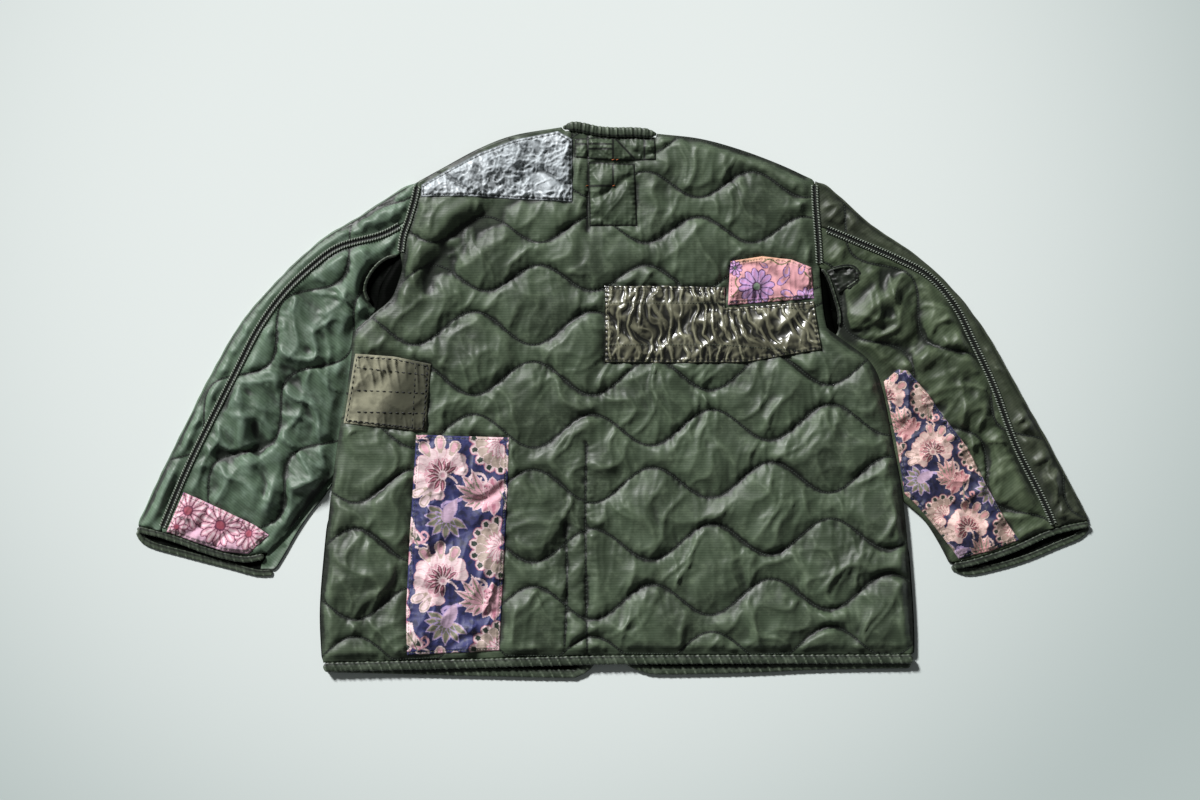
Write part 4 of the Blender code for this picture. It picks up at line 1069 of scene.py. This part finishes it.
brocadeMake = {"down": 126.0, "across": 112.0, "drop": 40.0,        # one repeat, and each column's half drop
               "middle": 15.0, "halfWide": 75.0, "low": -90.0, "high": 82.0}  # what its shapes reach
brocadeInk = {
    "ground": "#2e3268", "shade": "#22264e", "pink": "#dba6b2", "pale": "#efd3d5", "rose": "#c77f93",
    "lilac": "#bba4d0", "mauve": "#cdb0c8", "beige": "#b9a699", "brown": "#6d3b45", "moss": "#7d7d68",
    "green": "#26382c",
}


def onCanvas(canvas, mask, ink):
    # a canvas is its points, their colours and the inks by name
    canvas[1][mask] = hexColour(canvas[2][ink])


def petal(canvas, at, angle, length, width, edge, fill, core=None, blunt=0.75, rim=0.95, coreShare=0.5):
    # one petal from its base outwards: its outline, its field and its core
    c, s = math.cos(angle), math.sin(angle)
    away = canvas[0] - np.array(at)
    a, b = away @ np.array([c, s]) / length, np.abs(away @ np.array([-s, c]))
    within = (a > 0) & (a < 1)
    tip = np.sqrt(np.clip(1 - (np.clip(a - 0.6, 0, 1) / 0.4) ** 2, 0, 1)) * np.minimum(1, 0.35 + 1.08 * a)
    half = width / 2 * (tip if blunt < 0.7 else np.sin(np.pi * np.clip(a, 0, 1) ** blunt))
    onCanvas(canvas, within & (b < half), edge)
    onCanvas(canvas, within & (b < half - rim) & (a > 0.06) & (a < 0.94), fill)
    if core:
        onCanvas(canvas, within & (b < coreShare * half) & (a > 0.3) & (a < 0.86), core)


def fan(canvas, at, angles, inner, length, width, *look):
    # petals side by side round a centre
    for k, angle in enumerate(np.radians(angles)):
        base = np.array(at) + inner * np.array([math.cos(angle), math.sin(angle)])
        size = length[k % len(length)] if isinstance(length, tuple) else length
        petal(canvas, base, angle, size, width, *look)


def stem(canvas, points, half, ink):
    onCanvas(canvas, reach(canvas[0], softLine(points, 2.0))[0] < half, ink)


def dot(canvas, at, radius, ink):
    onCanvas(canvas, np.hypot(*(canvas[0] - np.array(at)).T) < radius, ink)


# one repeat, drawn round the palmette's centre, in mm
brocadeShapes = [
    # stems
    (stem, [(-27, 46), (-18, 42), (-20, 36), (-32, 40)], 1.2, "pale"),
    (stem, [(-38, -52), (-34, -66), (-38, -80)], 1.6, "pale"),
    (stem, [(-36, -78), (-24, -80), (-17, -73), (-21, -67), (-26, -71), (-22, -74)], 1.3, "pink"),
    (stem, [(-44, -60), (-36, -72), (-30, -84)], 0.9, "moss"),
    # the half flower
    (fan, (70, 39.6), np.arange(100, 300, 24), 20, 19, 14.5, "rose", "pale", "green", 0.6, 1.2, 0.42),
    (fan, (70, 39.6), np.arange(112, 290, 24), 14, 18, 14, "pale", "beige", None, 0.6, 0.9),
    (fan, (70, 39.6), np.arange(96, 280, 20), 2, 19, 8.0, "rose", "pale", None, 0.7, 0.8),
    # the dotted flower
    (fan, (61, -25), (60, 95, 130, 165, 200, 235, 270), 3, 21, 15.5, "pale", "pink", "rose", 0.7, 0.9, 0.3),
    (dot, (61, -25), 9, "pink"),
    *[(dot, (50 + 3.1 * (k % 3), -14 - 5.4 * (k // 3) - 2 * (k % 2)), 0.9, "brown") for k in range(9)],
    # the leaf and its curl
    (stem, [(32, -4), (38, 2), (47, 1), (52, -6), (48, -11), (44, -8), (46, -4)], 1.6, "pale"),
    (stem, [(37, -14), (42, -11), (45, -18), (51, -24)], 1.3, "pale"),
    (fan, (48, -28), (111, 132, 154, 178, 203, 228), 0, (38, 39, 38, 30, 24, 19), 11.5, "pale", "pink", "moss",
     0.8, 1.0, 0.22),
    (fan, (48, -28), (120, 143, 166), 0, 24, 6.5, "moss", "pink", None, 0.8, 0.8),
    # the lilac flower
    (stem, [(22, -29), (13, -32), (4, -32), (-1, -36), (4, -40), (6, -36)], 1.7, "lilac"),
    (petal, (2, -52), math.radians(58), 30, 16, "lilac", "mauve"),
    (fan, (5, -50.5), (149, 174, 201, 230, 265, 300, 331), 2, 26, 11.5, "lilac", "beige", "moss", 0.85, 1.2, 0.45),
    (fan, (5, -50.5), (161, 187, 215, 247, 282, 316), 2, 14, 4.6, "lilac", "moss", None, 0.8, 0.7),
    (dot, (5, -49), 7.5, "mauve"),
    # the palmette
    (fan, (-1, 0), (18, 42, 66, 96, 120, 146, 168, 190, 212, 236, 258), 14,
     (19, 22, 21, 21, 21, 22, 20, 21, 22, 21, 16), 17.5, "pink", "pale", None, 0.6, 0.8),
    (fan, (-2, 3), (62, 92, 124), 22, (21, 23, 22), 14, "pale", "beige", "pink", 0.6, 1.1, 0.5),
    (fan, (-4, -8), (206, 232), 14, (24, 23), 12, "pale", "beige", "pale", 0.6, 1.1, 0.5),
    (fan, (-1, 0), (30, 54, 80, 108, 134, 157, 180, 200, 222, 246), 10, 12, 10, "pale", "pink", None, 0.6, 0.6),
    (stem, [(3, 0), (10, -2), (17, -9)], 1.3, "pale"),
    (fan, (0, 0), (32, 60, 83, 106, 133, 158, 184, 208, 238, 268), 2, 20, 7.6, "pale", "brown", "rose",
     0.9, 1.0, 0.2),
    (dot, (0, 0), 5.2, "pale"),
    (dot, (0, 0), 2.6, "pink"),
]


def brocade(points, centre, turn=0.0, ink=brocadeInk, finer=1.0):
    c, s = math.cos(turn), math.sin(turn)
    local = finer * (points - np.array(centre)) @ np.array([[c, -s], [s, c]])
    local = local + 0.5 * np.column_stack([drift(local, 9, 1.0), drift(local, 9, 6.0)])
    colours = np.tile(hexColour(ink["ground"]), (len(points), 1))
    colours[drift(local, 6, 3.0) > 0.25] = hexColour(ink["shade"])
    make = brocadeMake
    for column in (-1, 0, 1):
        for down in range(-2, 3):
            shifted = local - np.array([make["across"] * column, make["down"] * down + make["drop"] * abs(column)])
            near = ((np.abs(shifted[:, 0] - make["middle"]) < make["halfWide"])
                    & (shifted[:, 1] > make["low"]) & (shifted[:, 1] < make["high"]))
            if near.any():
                part = colours[near]
                for draw, *shape in brocadeShapes:
                    draw((shifted[near], part, ink), *shape)
                colours[near] = part
    thread = 1 + 0.16 * drift(local * (1, 5), 5, 8.0)   # each weft thread takes the dye a little differently
    return np.clip(colours * thread[:, None], 0, 1)


# Printed cotton: big daisies with dark outlines on salmon, the common kind of a summer dress print.

floralInk = {"ground": "#e5a6ad", "peach": "#e6b394", "lilac": "#c5a0d6", "plum": "#4a2155", "olive": "#6b6a3f",
             "centre": "#7f9a84", "rose": "#d79fd0"}


def floral(points, daisies, leaves, curls, peachAbove, ink=floralInk):
    colours = np.tile(hexColour(ink["ground"]), (len(points), 1))
    wide = drift(points, 22, 2.0)
    warm = ease((points[:, 1] - peachAbove + 7 * wide) / 9)
    colours = colours + (hexColour(ink["peach"]) - colours) * warm[:, None]
    canvas = (points + 0.6 * np.column_stack([drift(points, 7, 1.0), drift(points, 7, 5.0)]), colours, ink)
    for line in curls:
        stem(canvas, line, 0.8, "olive")
    for x, y, size, turn in leaves:
        petal(canvas, (x, y), math.radians(turn), size, size * 0.5, "plum", "lilac", "ground")
    for x, y, size, count, turn in daisies:
        fan(canvas, (x, y), turn + np.arange(count) * 360 / count, size * 0.16, size * 0.86,
            size * 5.4 / count, "plum", "lilac", "rose", 0.6, 1.15, 0.3)
        dot(canvas, (x, y), size * 0.26, "plum")
        dot(canvas, (x, y), size * 0.19, "centre")
    return colours


def creases(p, rows, drop):
    # ridges in several directions: height, width, length over width, direction and seed of each
    return sum(high * ridged(p, size, longer, turn, seed) for high, size, longer, turn, seed in rows) - drop


def foilCrease(p):
    return creases(p, [(1.7, 15, 2.6, math.radians(84), 1.0), (1.5, 15, 3.0, math.radians(6), 4.0),
                       (1.6, 7.5, 1.5, 0.6, 9.0), (1.0, 4.2, 1.2, 2.0, 19.0)], 2.4)


cottonPleats = {"width": 11.0, "high": 3.4, "upperEnd": 4.0, "lowerEnd": -12.0, "lowerShare": 0.6}


def pleated(across, width, sharp):
    return (1 - np.abs(np.sin(np.pi * across / width))) ** sharp


def cottonCrease(p):
    # gathered by its top and bottom rows of running stitches
    make = cottonPleats
    across = p[:, 0] + 0.15 * p[:, 1] + 3.5 * drift(p * (1, 0.35), 18, 3.0)
    long = ease((p[:, 1] - make["upperEnd"] + 14 * drift(p * (1, 0.05), 14, 7.0)) / 36)
    low = make["lowerShare"] * ease((make["lowerEnd"] - p[:, 1]) / 16)
    return make["high"] * pleated(across, make["width"], 1.4) * np.maximum(long, low) - 0.6 + 0.9 * drift(p, 26, 2.0)


glossPleats = {"width": 15.0, "high": 4.1, "small": 1.0, "lean": (4, 30), "rows": (116, 66), "held": 0.7}


def glossCrease(p):
    # long sharp pleats, upright at the left and leaning at the right, held down by two rows of stitching
    make = glossPleats
    share = ease((p[:, 0] - 90) / 90)
    lean = np.radians(make["lean"][0] + share * (make["lean"][1] - make["lean"][0]))
    across = p[:, 0] * np.cos(lean) + p[:, 1] * np.sin(lean)
    across = across + 9.0 * drift(p * (1, 0.8), 30, 3.0) + 2.2 * drift(p, 12, 9.0)
    tall = 0.45 + 0.55 * ease(0.5 + 1.2 * drift(p, 24, 14.0))
    small = make["small"] * pleated(across + 6 * drift(p, 17, 21.0), make["width"] / 2, 1.2)
    bands = 1 - sum(make["held"] * np.exp(-((p[:, 1] - row) / 3.5) ** 2) for row in make["rows"])
    return (make["high"] * pleated(across, make["width"], 1.3) * tall + small - 1.4) * bands


def softCrease(size, deep, turn):
    return lambda p: (deep * (ridged(p, size, 3.0, math.radians(turn), 6.0) - 0.4)
                      + 0.5 * deep * drift(p, 2.2 * size, 8.0))


def facingCrease(p):
    overTab = np.abs(p[:, 0] + 15) < 15
    return (creases(p, [(1.0, 6.5, 2.2, math.radians(90), 3.0)], 0.4)
            + creases(p, [(1.3, 6.0, 1.2, math.radians(95), 13.0)], 0.52) * overTab)


patchMake = {
    "mesh": 1.0, "bridge": 14, "stitchPitch": 7.0, "pucker": 0.5, "hem": 0.45, "hemWide": 5.0, "seamIn": 3.0,
    "lift": 0.55, "seamDeep": 0.45, "grooveDeep": 1.6, "skirt": 0.6, "lowest": 2.75,
    "cut": 1.06,         # the cut over what shows, as it is gathered by its sewing
    "restsOn": "back_quilted_panel",
}
facingMake = dict(
    patchMake, seed=68, mesh=1.2, bridge=3, stitchPitch=6.0, hem=0.0, seamIn=0.6,
    grooves=[[(-30, 320), (-30, 280)], [(0, 320), (0, 280)], [(37.5, 320), (37.5, 280)], [(-46, 306.5), (0, 306)],
             [(-30, 300.5), (0, 300)], [(4, 312), (26, 288)]])
shoulderPrint = {   # daisies: x, y, size, petals, turn; leaves: x, y, size, direction
    "daisies": [(171.6, 135.6, 22, 12, 8), (232, 118, 17, 11, 0), (146, 158, 9, 9, 20)],
    "leaves": [(196, 138, 20, 35), (200, 130, 19, -20), (206, 146, 18, 80), (150, 118, 13, 200),
               (186, 158, 14, 150), (222, 150, 16, 60), (150, 146, 12, 100)],
    "curls": [[(142, 124), (150, 132), (146, 142), (152, 150)], [(188, 118), (198, 122), (206, 116)],
              [(176, 164), (188, 168), (200, 162), (212, 166)], [(222, 160), (230, 152), (236, 144)]],
    "peachAbove": 160,
}
cuffPrint = {
    "daisies": [(-508, -132, 24, 13, 10), (-436, -160, 20, 12, 14), (-470, -150, 26, 14, 0), (-522, -152, 13, 9, 0)],
    "leaves": [(-458, -146, 15, -40), (-452, -154, 14, 10), (-500, -156, 13, 160), (-524, -150, 12, 70),
               (-420, -160, 12, 120)],
    "curls": [[(-470, -168), (-460, -162), (-452, -168)], [(-512, -118), (-506, -128), (-498, -132)]],
    "peachAbove": -118,
    "ink": dict(floralInk, ground="#dcb0c6", peach="#b98fc0", lilac="#dba3b4", plum="#6e2c4c", centre="#a3485c",
                rose="#f0d3dc"),
}
# the brocade's own inks, darker as painted shade and a little warmer, for the part of the cloth on the right sleeve
shadedWarmSleeveInk = dict(brocadeInk, ground="#23264e", shade="#191b3a", pink="#cf9595", pale="#e3c3b9", rose="#a8636a",
                 beige="#ab9184", brown="#5a2c33")
sewnPatch("silver", "patch_silver_foil", "patch_silver", backTop, foil,
          dict(patchMake, seed=61, bridge=10, pucker=0.9, mesh=1.1), foilCrease)
# painted shade: the drab cotton patch darkens towards its right side, as less light falls there
sewnPatch("tan", "patch_drab_cotton", "patch_tan", backTop, cotton,
          dict(patchMake, seed=62, bridge=90, mesh=1.3), cottonCrease,
          paintedShadeBy=lambda p: ease((p[:, 0] + 302 - 0.45 * (p[:, 1] + 24)) / 40))
sewnPatch("brocade", "patch_brocade_large", "patch_brocade", backTop, brocadeCloth,
          dict(patchMake, seed=63, mesh=0.9, bridge=40, pucker=0.35), softCrease(16, 0.9, 85),
          paint=lambda p: brocade(p, (-203.5, -90.0)))
sewnPatch("floral", "patch_floral_shoulder", "patch_floral", backTop, floralCotton,
          dict(patchMake, seed=64, mesh=0.8, bridge=18, pucker=0.6), softCrease(9, 0.9, 88),
          paint=lambda p: floral(p, **shoulderPrint))
sewnPatch("shiny", "patch_gloss_nylon", "patch_shiny", backTop, glossNylon,
          dict(patchMake, seed=65, bridge=90, pucker=0.8, stitchPitch=6.5), glossCrease)
sewnPatch("cuffLeft", "patch_floral_cuff", "patch_cuff_left", sleeveTop["left"], floralCotton,
          dict(patchMake, seed=66, mesh=0.85, restsOn="left_under_sleeve_quilted"), softCrease(10, 1.0, 60),
          paint=lambda p: floral(p, **cuffPrint))
sewnPatch("sleeveRight", "patch_brocade_sleeve", "patch_sleeve_right", sleeveTop["right"], brocadeCloth,
          dict(patchMake, seed=67, mesh=0.9, bridge=30, restsOn="right_under_sleeve_quilted"),
          softCrease(15, 1.2, 120), paint=lambda p: brocade(p, (382, -62), math.radians(-28), shadedWarmSleeveInk, 1.4))
sewnPatch("facing", "neck_facing_cloth", "neck_facing", backTop, nylon["back"],
          facingMake, facingCrease)
sewnPatch("tab", "neck_tab_cloth", "neck_tab", backTop, nylon["back"],
          dict(facingMake, seed=69, bridge=8, grooves=[[(0, 286), (0, 256)], [(-30, 256), (0, 256)]]),
          softCrease(13, 1.0, 60))
tell("patches ready")


# Bindings and tapes: folded nylon, puckered into short slanting ridges by its stitching.

def boxOf(node):
    low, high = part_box(node)
    return low[2] / mm, high[2] / mm


def puckeredTape(name, node, line, half, look, span=None, across=14):
    low, high = span or boxOf(node)
    step = 1.4
    line = evenLine(line, step)
    n = len(line)
    along = np.arange(n) * step
    normal = turned(line)
    wander = 2.4 * drift(np.column_stack([along, np.zeros(n)]), 25, look["seed"])
    tip = np.sqrt(np.clip(np.minimum(along, along[::-1]) / look.get("tip", 2.5), 0.05, 1))
    middle, rise = (low + high) / 2, (high - low) / 2
    rings, gaps, relief = [], [], []
    for k in range(across):
        a = 2 * np.pi * k / across
        c, s = math.cos(a), math.sin(a)
        side = math.copysign(abs(c) ** 0.7, c)
        up = math.copysign(abs(s) ** 0.6, s)
        phase = 2 * np.pi * (along + look["slant"] * side * half) / look["pitch"] + wander
        ridge = np.sin(phase) * 0.6 + 0.4 * np.sin(0.53 * phase + 1.7)
        seamDip = sum(math.exp(-((side * half - m * half) / 0.9) ** 2) for m in look["seams"])
        lift = (look["deep"] * ridge * (1 - 0.7 * min(seamDip, 1)) - look["dip"] * min(seamDip, 1)) * max(s, 0)
        wide = half * side * tip + 0.35 * look["deep"] * ridge * abs(c) * np.sign(c)
        rings.append(np.column_stack([line + normal * wide[:, None],
                                      np.maximum(middle + rise * up * tip + lift, low)]))
        gaps.append(np.full(n, min(abs(side * half - m * half) for m in look["seams"]) if s > 0 else farOff))
        # painted highlight on each ridge and painted shade in the seam dips, carried by the relief
        relief.append(1.9 * ridge + 0.1 - 2.0 * min(seamDip, 1))
    piece = makePiece(name, np.vstack(rings), tubeFaces(across, n), bindingNylon,
                      {"stitchGap": np.hstack(gaps) + 0.4, "relief": np.hstack(relief)})
    declareTape(node)
    return line


def declareTape(node):
    # hides the node the tape stands for; a side has to be 10 mm or more
    if node:
        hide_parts(node)


hemTape = {"pitch": 6.0, "slant": 0.5, "deep": 1.3, "dip": 0.8, "seams": (0.6,), "seed": 1.0}
armTape = {"pitch": 3.6, "slant": 0.5, "deep": 0.5, "dip": 1.2, "seams": (-0.33, 0.33), "seed": 2.0}


def trimmedLine(line, start, end):
    fine = evenLine(line, 1.0)
    return fine[int(start):len(fine) - int(end)]


tapeSpan, ventSpan, flapSpan = (8.15, 9.7), (4.9, 8.4), (9.6, 13.4)   # lowest and highest, in mm
onTape = 10.0
sewnTapes = []
puckeredTape("neck_binding_folded", "neck_binding", sideOf(neckLine, -0.9), 5.9,
             dict(hemTape, pitch=4.8, deep=1.6, slant=0.1, seams=(-0.7,), tip=12.0))
puckeredTape("back_hem_binding_folded", "back_hem_binding", hemLine, 5.4, hemTape)
for side in hand:
    h, s = hand[side], seam[side]
    cuff = np.vstack([s["cuffOuter"], s["cuffInner"][1:]])
    hemSeam, cuffLook = (0.55 * h,), dict(hemTape, pitch=5.0, seams=(0.5 * h,))
    # the piece's name, its node, its line, what is trimmed off both ends, its half width and its look
    for name, node, line, start, end, half, look in (
            ("front_hem_binding_folded_" + side, "front_hem_binding_" + side, s["frontHem"], 1, 2, 5.3,
             dict(hemTape, seams=hemSeam, seed=3.0 + h, deep=0.6)),
            ("front_edge_binding_folded_" + side, "front_edge_binding_" + side, s["frontEdge"], 2, 4, 5.3,
             dict(hemTape, seams=hemSeam, deep=0.5)),
            (side + "_cuff_binding_upper_folded", side + "_cuff_binding_upper", cuff, 1, 1, 3.8,
             dict(cuffLook, deep=0.6, seed=6.0 + h)),
            (side + "_cuff_binding_lower_folded", side + "_cuff_binding_lower", s["lowerCuff"], 3, 1, 3.8,
             dict(cuffLook, deep=0.3))):
        puckeredTape(name, node, trimmedLine(line, start, end), half, look)
    for name, line, start, end, seed in ((side + "_armhole_tape", armhole[side], 5, 3, 8.0),
                                         (side + "_sleeve_tape", s["sleeveSeam"], 12, 9, 12.0)):
        sewnTapes.append(puckeredTape(name + "_sewn", name, trimmedLine(line, start, end), 4.3,
                                      dict(armTape, seed=seed + h), tapeSpan))
    puckeredTape(side + "_vent_binding", None, trimmedLine(s["ventSleeve"], 4, 6), 2.0,
                 dict(armTape, pitch=4.0, seams=(0.5 * h,), deep=0.4, dip=0.6, seed=15.0 + h), ventSpan)
tell("bindings ready")


# The right vent's turned-out edge

def flapGround(p):
    ground = np.fmax(sleeveTop["right"](p), 7.0)
    return np.where(np.isnan(ground), 8.0, ground)


sewnPatch("flap", "right_vent_flap_turned", "right_vent_flap", flapGround, flapShadeNylon,
          dict(patchMake, seed=70, mesh=1.2, bridge=25, cut=1.1, pucker=0.9, restsOn="right_under_sleeve_quilted"),
          softCrease(9, 1.2, 40))
flapLine = softLine([(262, 157), (275, 160), (287, 159.5), (294, 152), (292.5, 143), (280, 134)], 2.0)
puckeredTape("right_vent_flap_binding", None, flapLine, 2.0, dict(armTape, pitch=4.4, seams=(0.3,), deep=0.5),
             flapSpan)


# Stitches, each a short length of thread that dips in at both ends

stitches = {}


def sew(kind, line, heights, long=2.6, every=3.3, thick=0.35, skip=None, slant=0.0):
    # heights are the surfaces that it may lie on; the highest counts
    marks = evenLine(np.array(line, float), every)
    if len(marks) < 2:
        return
    at, way = (marks[1:] + marks[:-1]) / 2, np.diff(marks, axis=0)
    way /= np.maximum(np.hypot(*way.T), 1e-9)[:, None]
    c, t = math.cos(slant), math.sin(slant)
    way = way @ np.array([[c, t], [-t, c]])
    keep = np.ones(len(at), bool) if skip is None else ~skip(at)
    at, way = at[keep], way[keep]
    if not len(at):
        return
    z = np.full((3, len(at)), -1.0)
    for surface in heights:
        for k, share in enumerate((-0.4, 0, 0.4)):
            here = surface(at + way * long * share)
            z[k] = np.where(np.isnan(here), z[k], np.maximum(z[k], here))
    fits = z.min(axis=0) > 0
    stitches.setdefault(kind, []).append((at[fits], way[fits], z[:, fits], long, thick))


def makeStitches(kind, lift=0.25):
    points, faces, count = [], [], 0
    for at, way, z, long, thick in stitches[kind]:
        normal = np.column_stack([-way[:, 1], way[:, 0]])
        rings = []
        for share, size, up in ((-0.5, 0.45, -0.35), (-0.25, 1.0, 0.8), (0.25, 1.0, 0.8), (0.5, 0.45, -0.35)):
            here = np.where(share < 0, z[0] + (z[1] - z[0]) * (share + 0.4) / 0.4, z[1] + (z[2] - z[1]) * share / 0.4)
            middle = at + way * long * share
            for a in np.radians((45, 135, 225, 315)):
                rings.append(np.column_stack([middle + normal * thick * size * math.cos(a),
                                              here + lift * up + thick * size * math.sin(a)]))
        block = np.stack(rings, axis=1)
        n = len(at)
        quads = [(4 * r + k, 4 * r + (k + 1) % 4, 4 * r + 4 + (k + 1) % 4, 4 * r + 4 + k)
                 for r in range(3) for k in range(4)] + [(3, 2, 1, 0), (12, 13, 14, 15)]
        offsets = (np.arange(n) * 16 + count)[:, None, None]
        faces += (np.array(quads)[None] + offsets).reshape(-1, 4).tolist()
        points.append(block.reshape(-1, 3))
        count += 16 * n
    piece = makePiece(kind + "_stitches", np.vstack(points), faces, thread[kind])


def under(edges):
    return lambda at: np.any([inside(at, edge) for edge in edges], axis=0)


for line in rowLines(bodyField):
    keep = line[inside(line, backOutline)]
    if len(keep) > 3:
        sew("quilting", keep, [backTop], skip=under([patchEdge[p] for p in backPatches]))
for side in hand:
    for line in rowLines(sleeveField[side]):
        sew("quilting", line, [sleeveTop[side], stripTop[side]], skip=under([sleevePatch[side], backOutline]))
for line in darnLines:
    sew("quilting", line, [backTop], long=3.0, every=4.0)
for name, kind in (("silver", "black"), ("brocade", "drab"), ("floral", "drab"), ("shiny", "black"),
                   ("cuffLeft", "drab"), ("sleeveRight", "drab")):
    sew(kind, sideOf(evenLine(looped(patchEdge[name]), 2.0), 3.0), [patchTop[name]], long=2.4, every=3.4)
tanStitches = [   # a line, then each stitch's length, the space from one to the next, and the thread's half width
    (sideOf(evenLine(looped(patchEdge["tan"]), 2.0), 3.2), 3.8, 6.6, 0.7),
    ([(-308, 39), (-224, 30)], 4.4, 7.6, 0.8), ([(-308, 12), (-224, 8)], 4.4, 7.6, 0.8),
    ([(-308, -14), (-224, -16)], 4.4, 7.6, 0.8), ([(-314, 51.5), (-262, 48.5), (-222, 40)], 4.2, 7.0, 0.8),
    ([(-318, -24), (-238, -33)], 4.2, 7.0, 0.8), ([(-236, 42), (-240, -34)], 3.8, 7.2, 0.7),
    ([(-222, 42), (-227, -34)], 3.8, 7.2, 0.7),
]
for line, *size in tanStitches:
    sew("black", line, [patchTop["tan"]], *size)
for y in glossPleats["rows"]:
    sew("quilting", [(-4, y), (128, y), (236, y - 8)], [patchTop["shiny"]], every=3.4)
for line in sewnTapes:
    for out in (-3.0, 3.0):
        sew("pale", sideOf(line, out), [lambda at: np.full(len(at), onTape)], long=3.0, every=3.2, thick=0.5,
            slant=math.radians(60))
for x, y in ((0, 287), (5, 287), (-31, 256), (1, 256)):
    sew("orange", [(x - 2, y), (x + 2, y + 1)], [backTop, patchTop["tab"], patchTop["facing"]],
        long=3.4, every=4.0, thick=0.5)
for kind in stitches:
    makeStitches(kind)
tell("stitches ready")


# The studio: a pale floor, one soft key light from the upper left, an even pale fill, and the camera overhead

studio = {
    "key": 5.1, "keySize": 9.0, "keyHeight": 33.0, "keyFrom": 128.0, "fill": 0.105, "distance": 3.4, "lens": 85.0,
    "paper": "#e9efed", "farPaper": "#b7c2c0", "half": 6.0, "drop": -0.0005, "across": -13 * 1.2 * mm,
}
half, drop = studio["half"], studio["drop"]
floorMesh = bpy.data.meshes.new("studioFloor")
floorMesh.from_pydata([(-half, -half, drop), (half, -half, drop), (half, half, drop), (-half, half, drop)], [],
                      [(0, 1, 2, 3)])
floor = bpy.data.objects.new("studio_floor", floorMesh)
scene.collection.objects.link(floor)
paper, tree, place = startMaterial("paleBackdropPaper")
# its tone falls off round a spot above the jacket's left shoulder, as the light on it does
spot = addNode(tree, "Mapping", {"Vector": place, "Location": (0.15, -0.25, 0)})
away = addNode(tree, "VectorMath", {0: spot, 1: spot}, "Value", operation="DOT_PRODUCT")
tone = layered(tree, rgba(studio["paper"]), [(away, 0.04, 1.1, 0, 1, studio["farPaper"])])
finishMaterial(paper, {"Base Color": tone, "Roughness": 0.9, "Specular IOR Level": 0.1})
floorMesh.materials.append(paper)

keyLight = bpy.data.lights.new("keyLight", "SUN")
keyLight.energy, keyLight.angle = studio["key"], math.radians(studio["keySize"])
key = bpy.data.objects.new("keyLight", keyLight)
azimuth, height = math.radians(studio["keyFrom"]), math.radians(studio["keyHeight"])
toward = -Vector((math.cos(azimuth) * math.cos(height), math.sin(azimuth) * math.cos(height), math.sin(height)))
key.rotation_euler = toward.to_track_quat("-Z", "Y").to_euler()
scene.collection.objects.link(key)
world = bpy.data.worlds.new("studioLight")
world.use_nodes = True
feed(world.node_tree, world.node_tree.nodes["Background"], {"Color": rgba("#f1f6f5"), "Strength": studio["fill"]})
scene.world = world
scene.view_settings.view_transform = "Standard"   # the backdrop and the dark cloth keep their own tones

lens = bpy.data.cameras.new("overhead")
lens.lens, lens.sensor_width = studio["lens"], 36.0
lens.clip_end = 50.0
camera = bpy.data.objects.new("overhead", lens)
camera.location = (studio["across"], 0, studio["distance"])
scene.collection.objects.link(camera)
scene.camera = camera

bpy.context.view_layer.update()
tell("done")
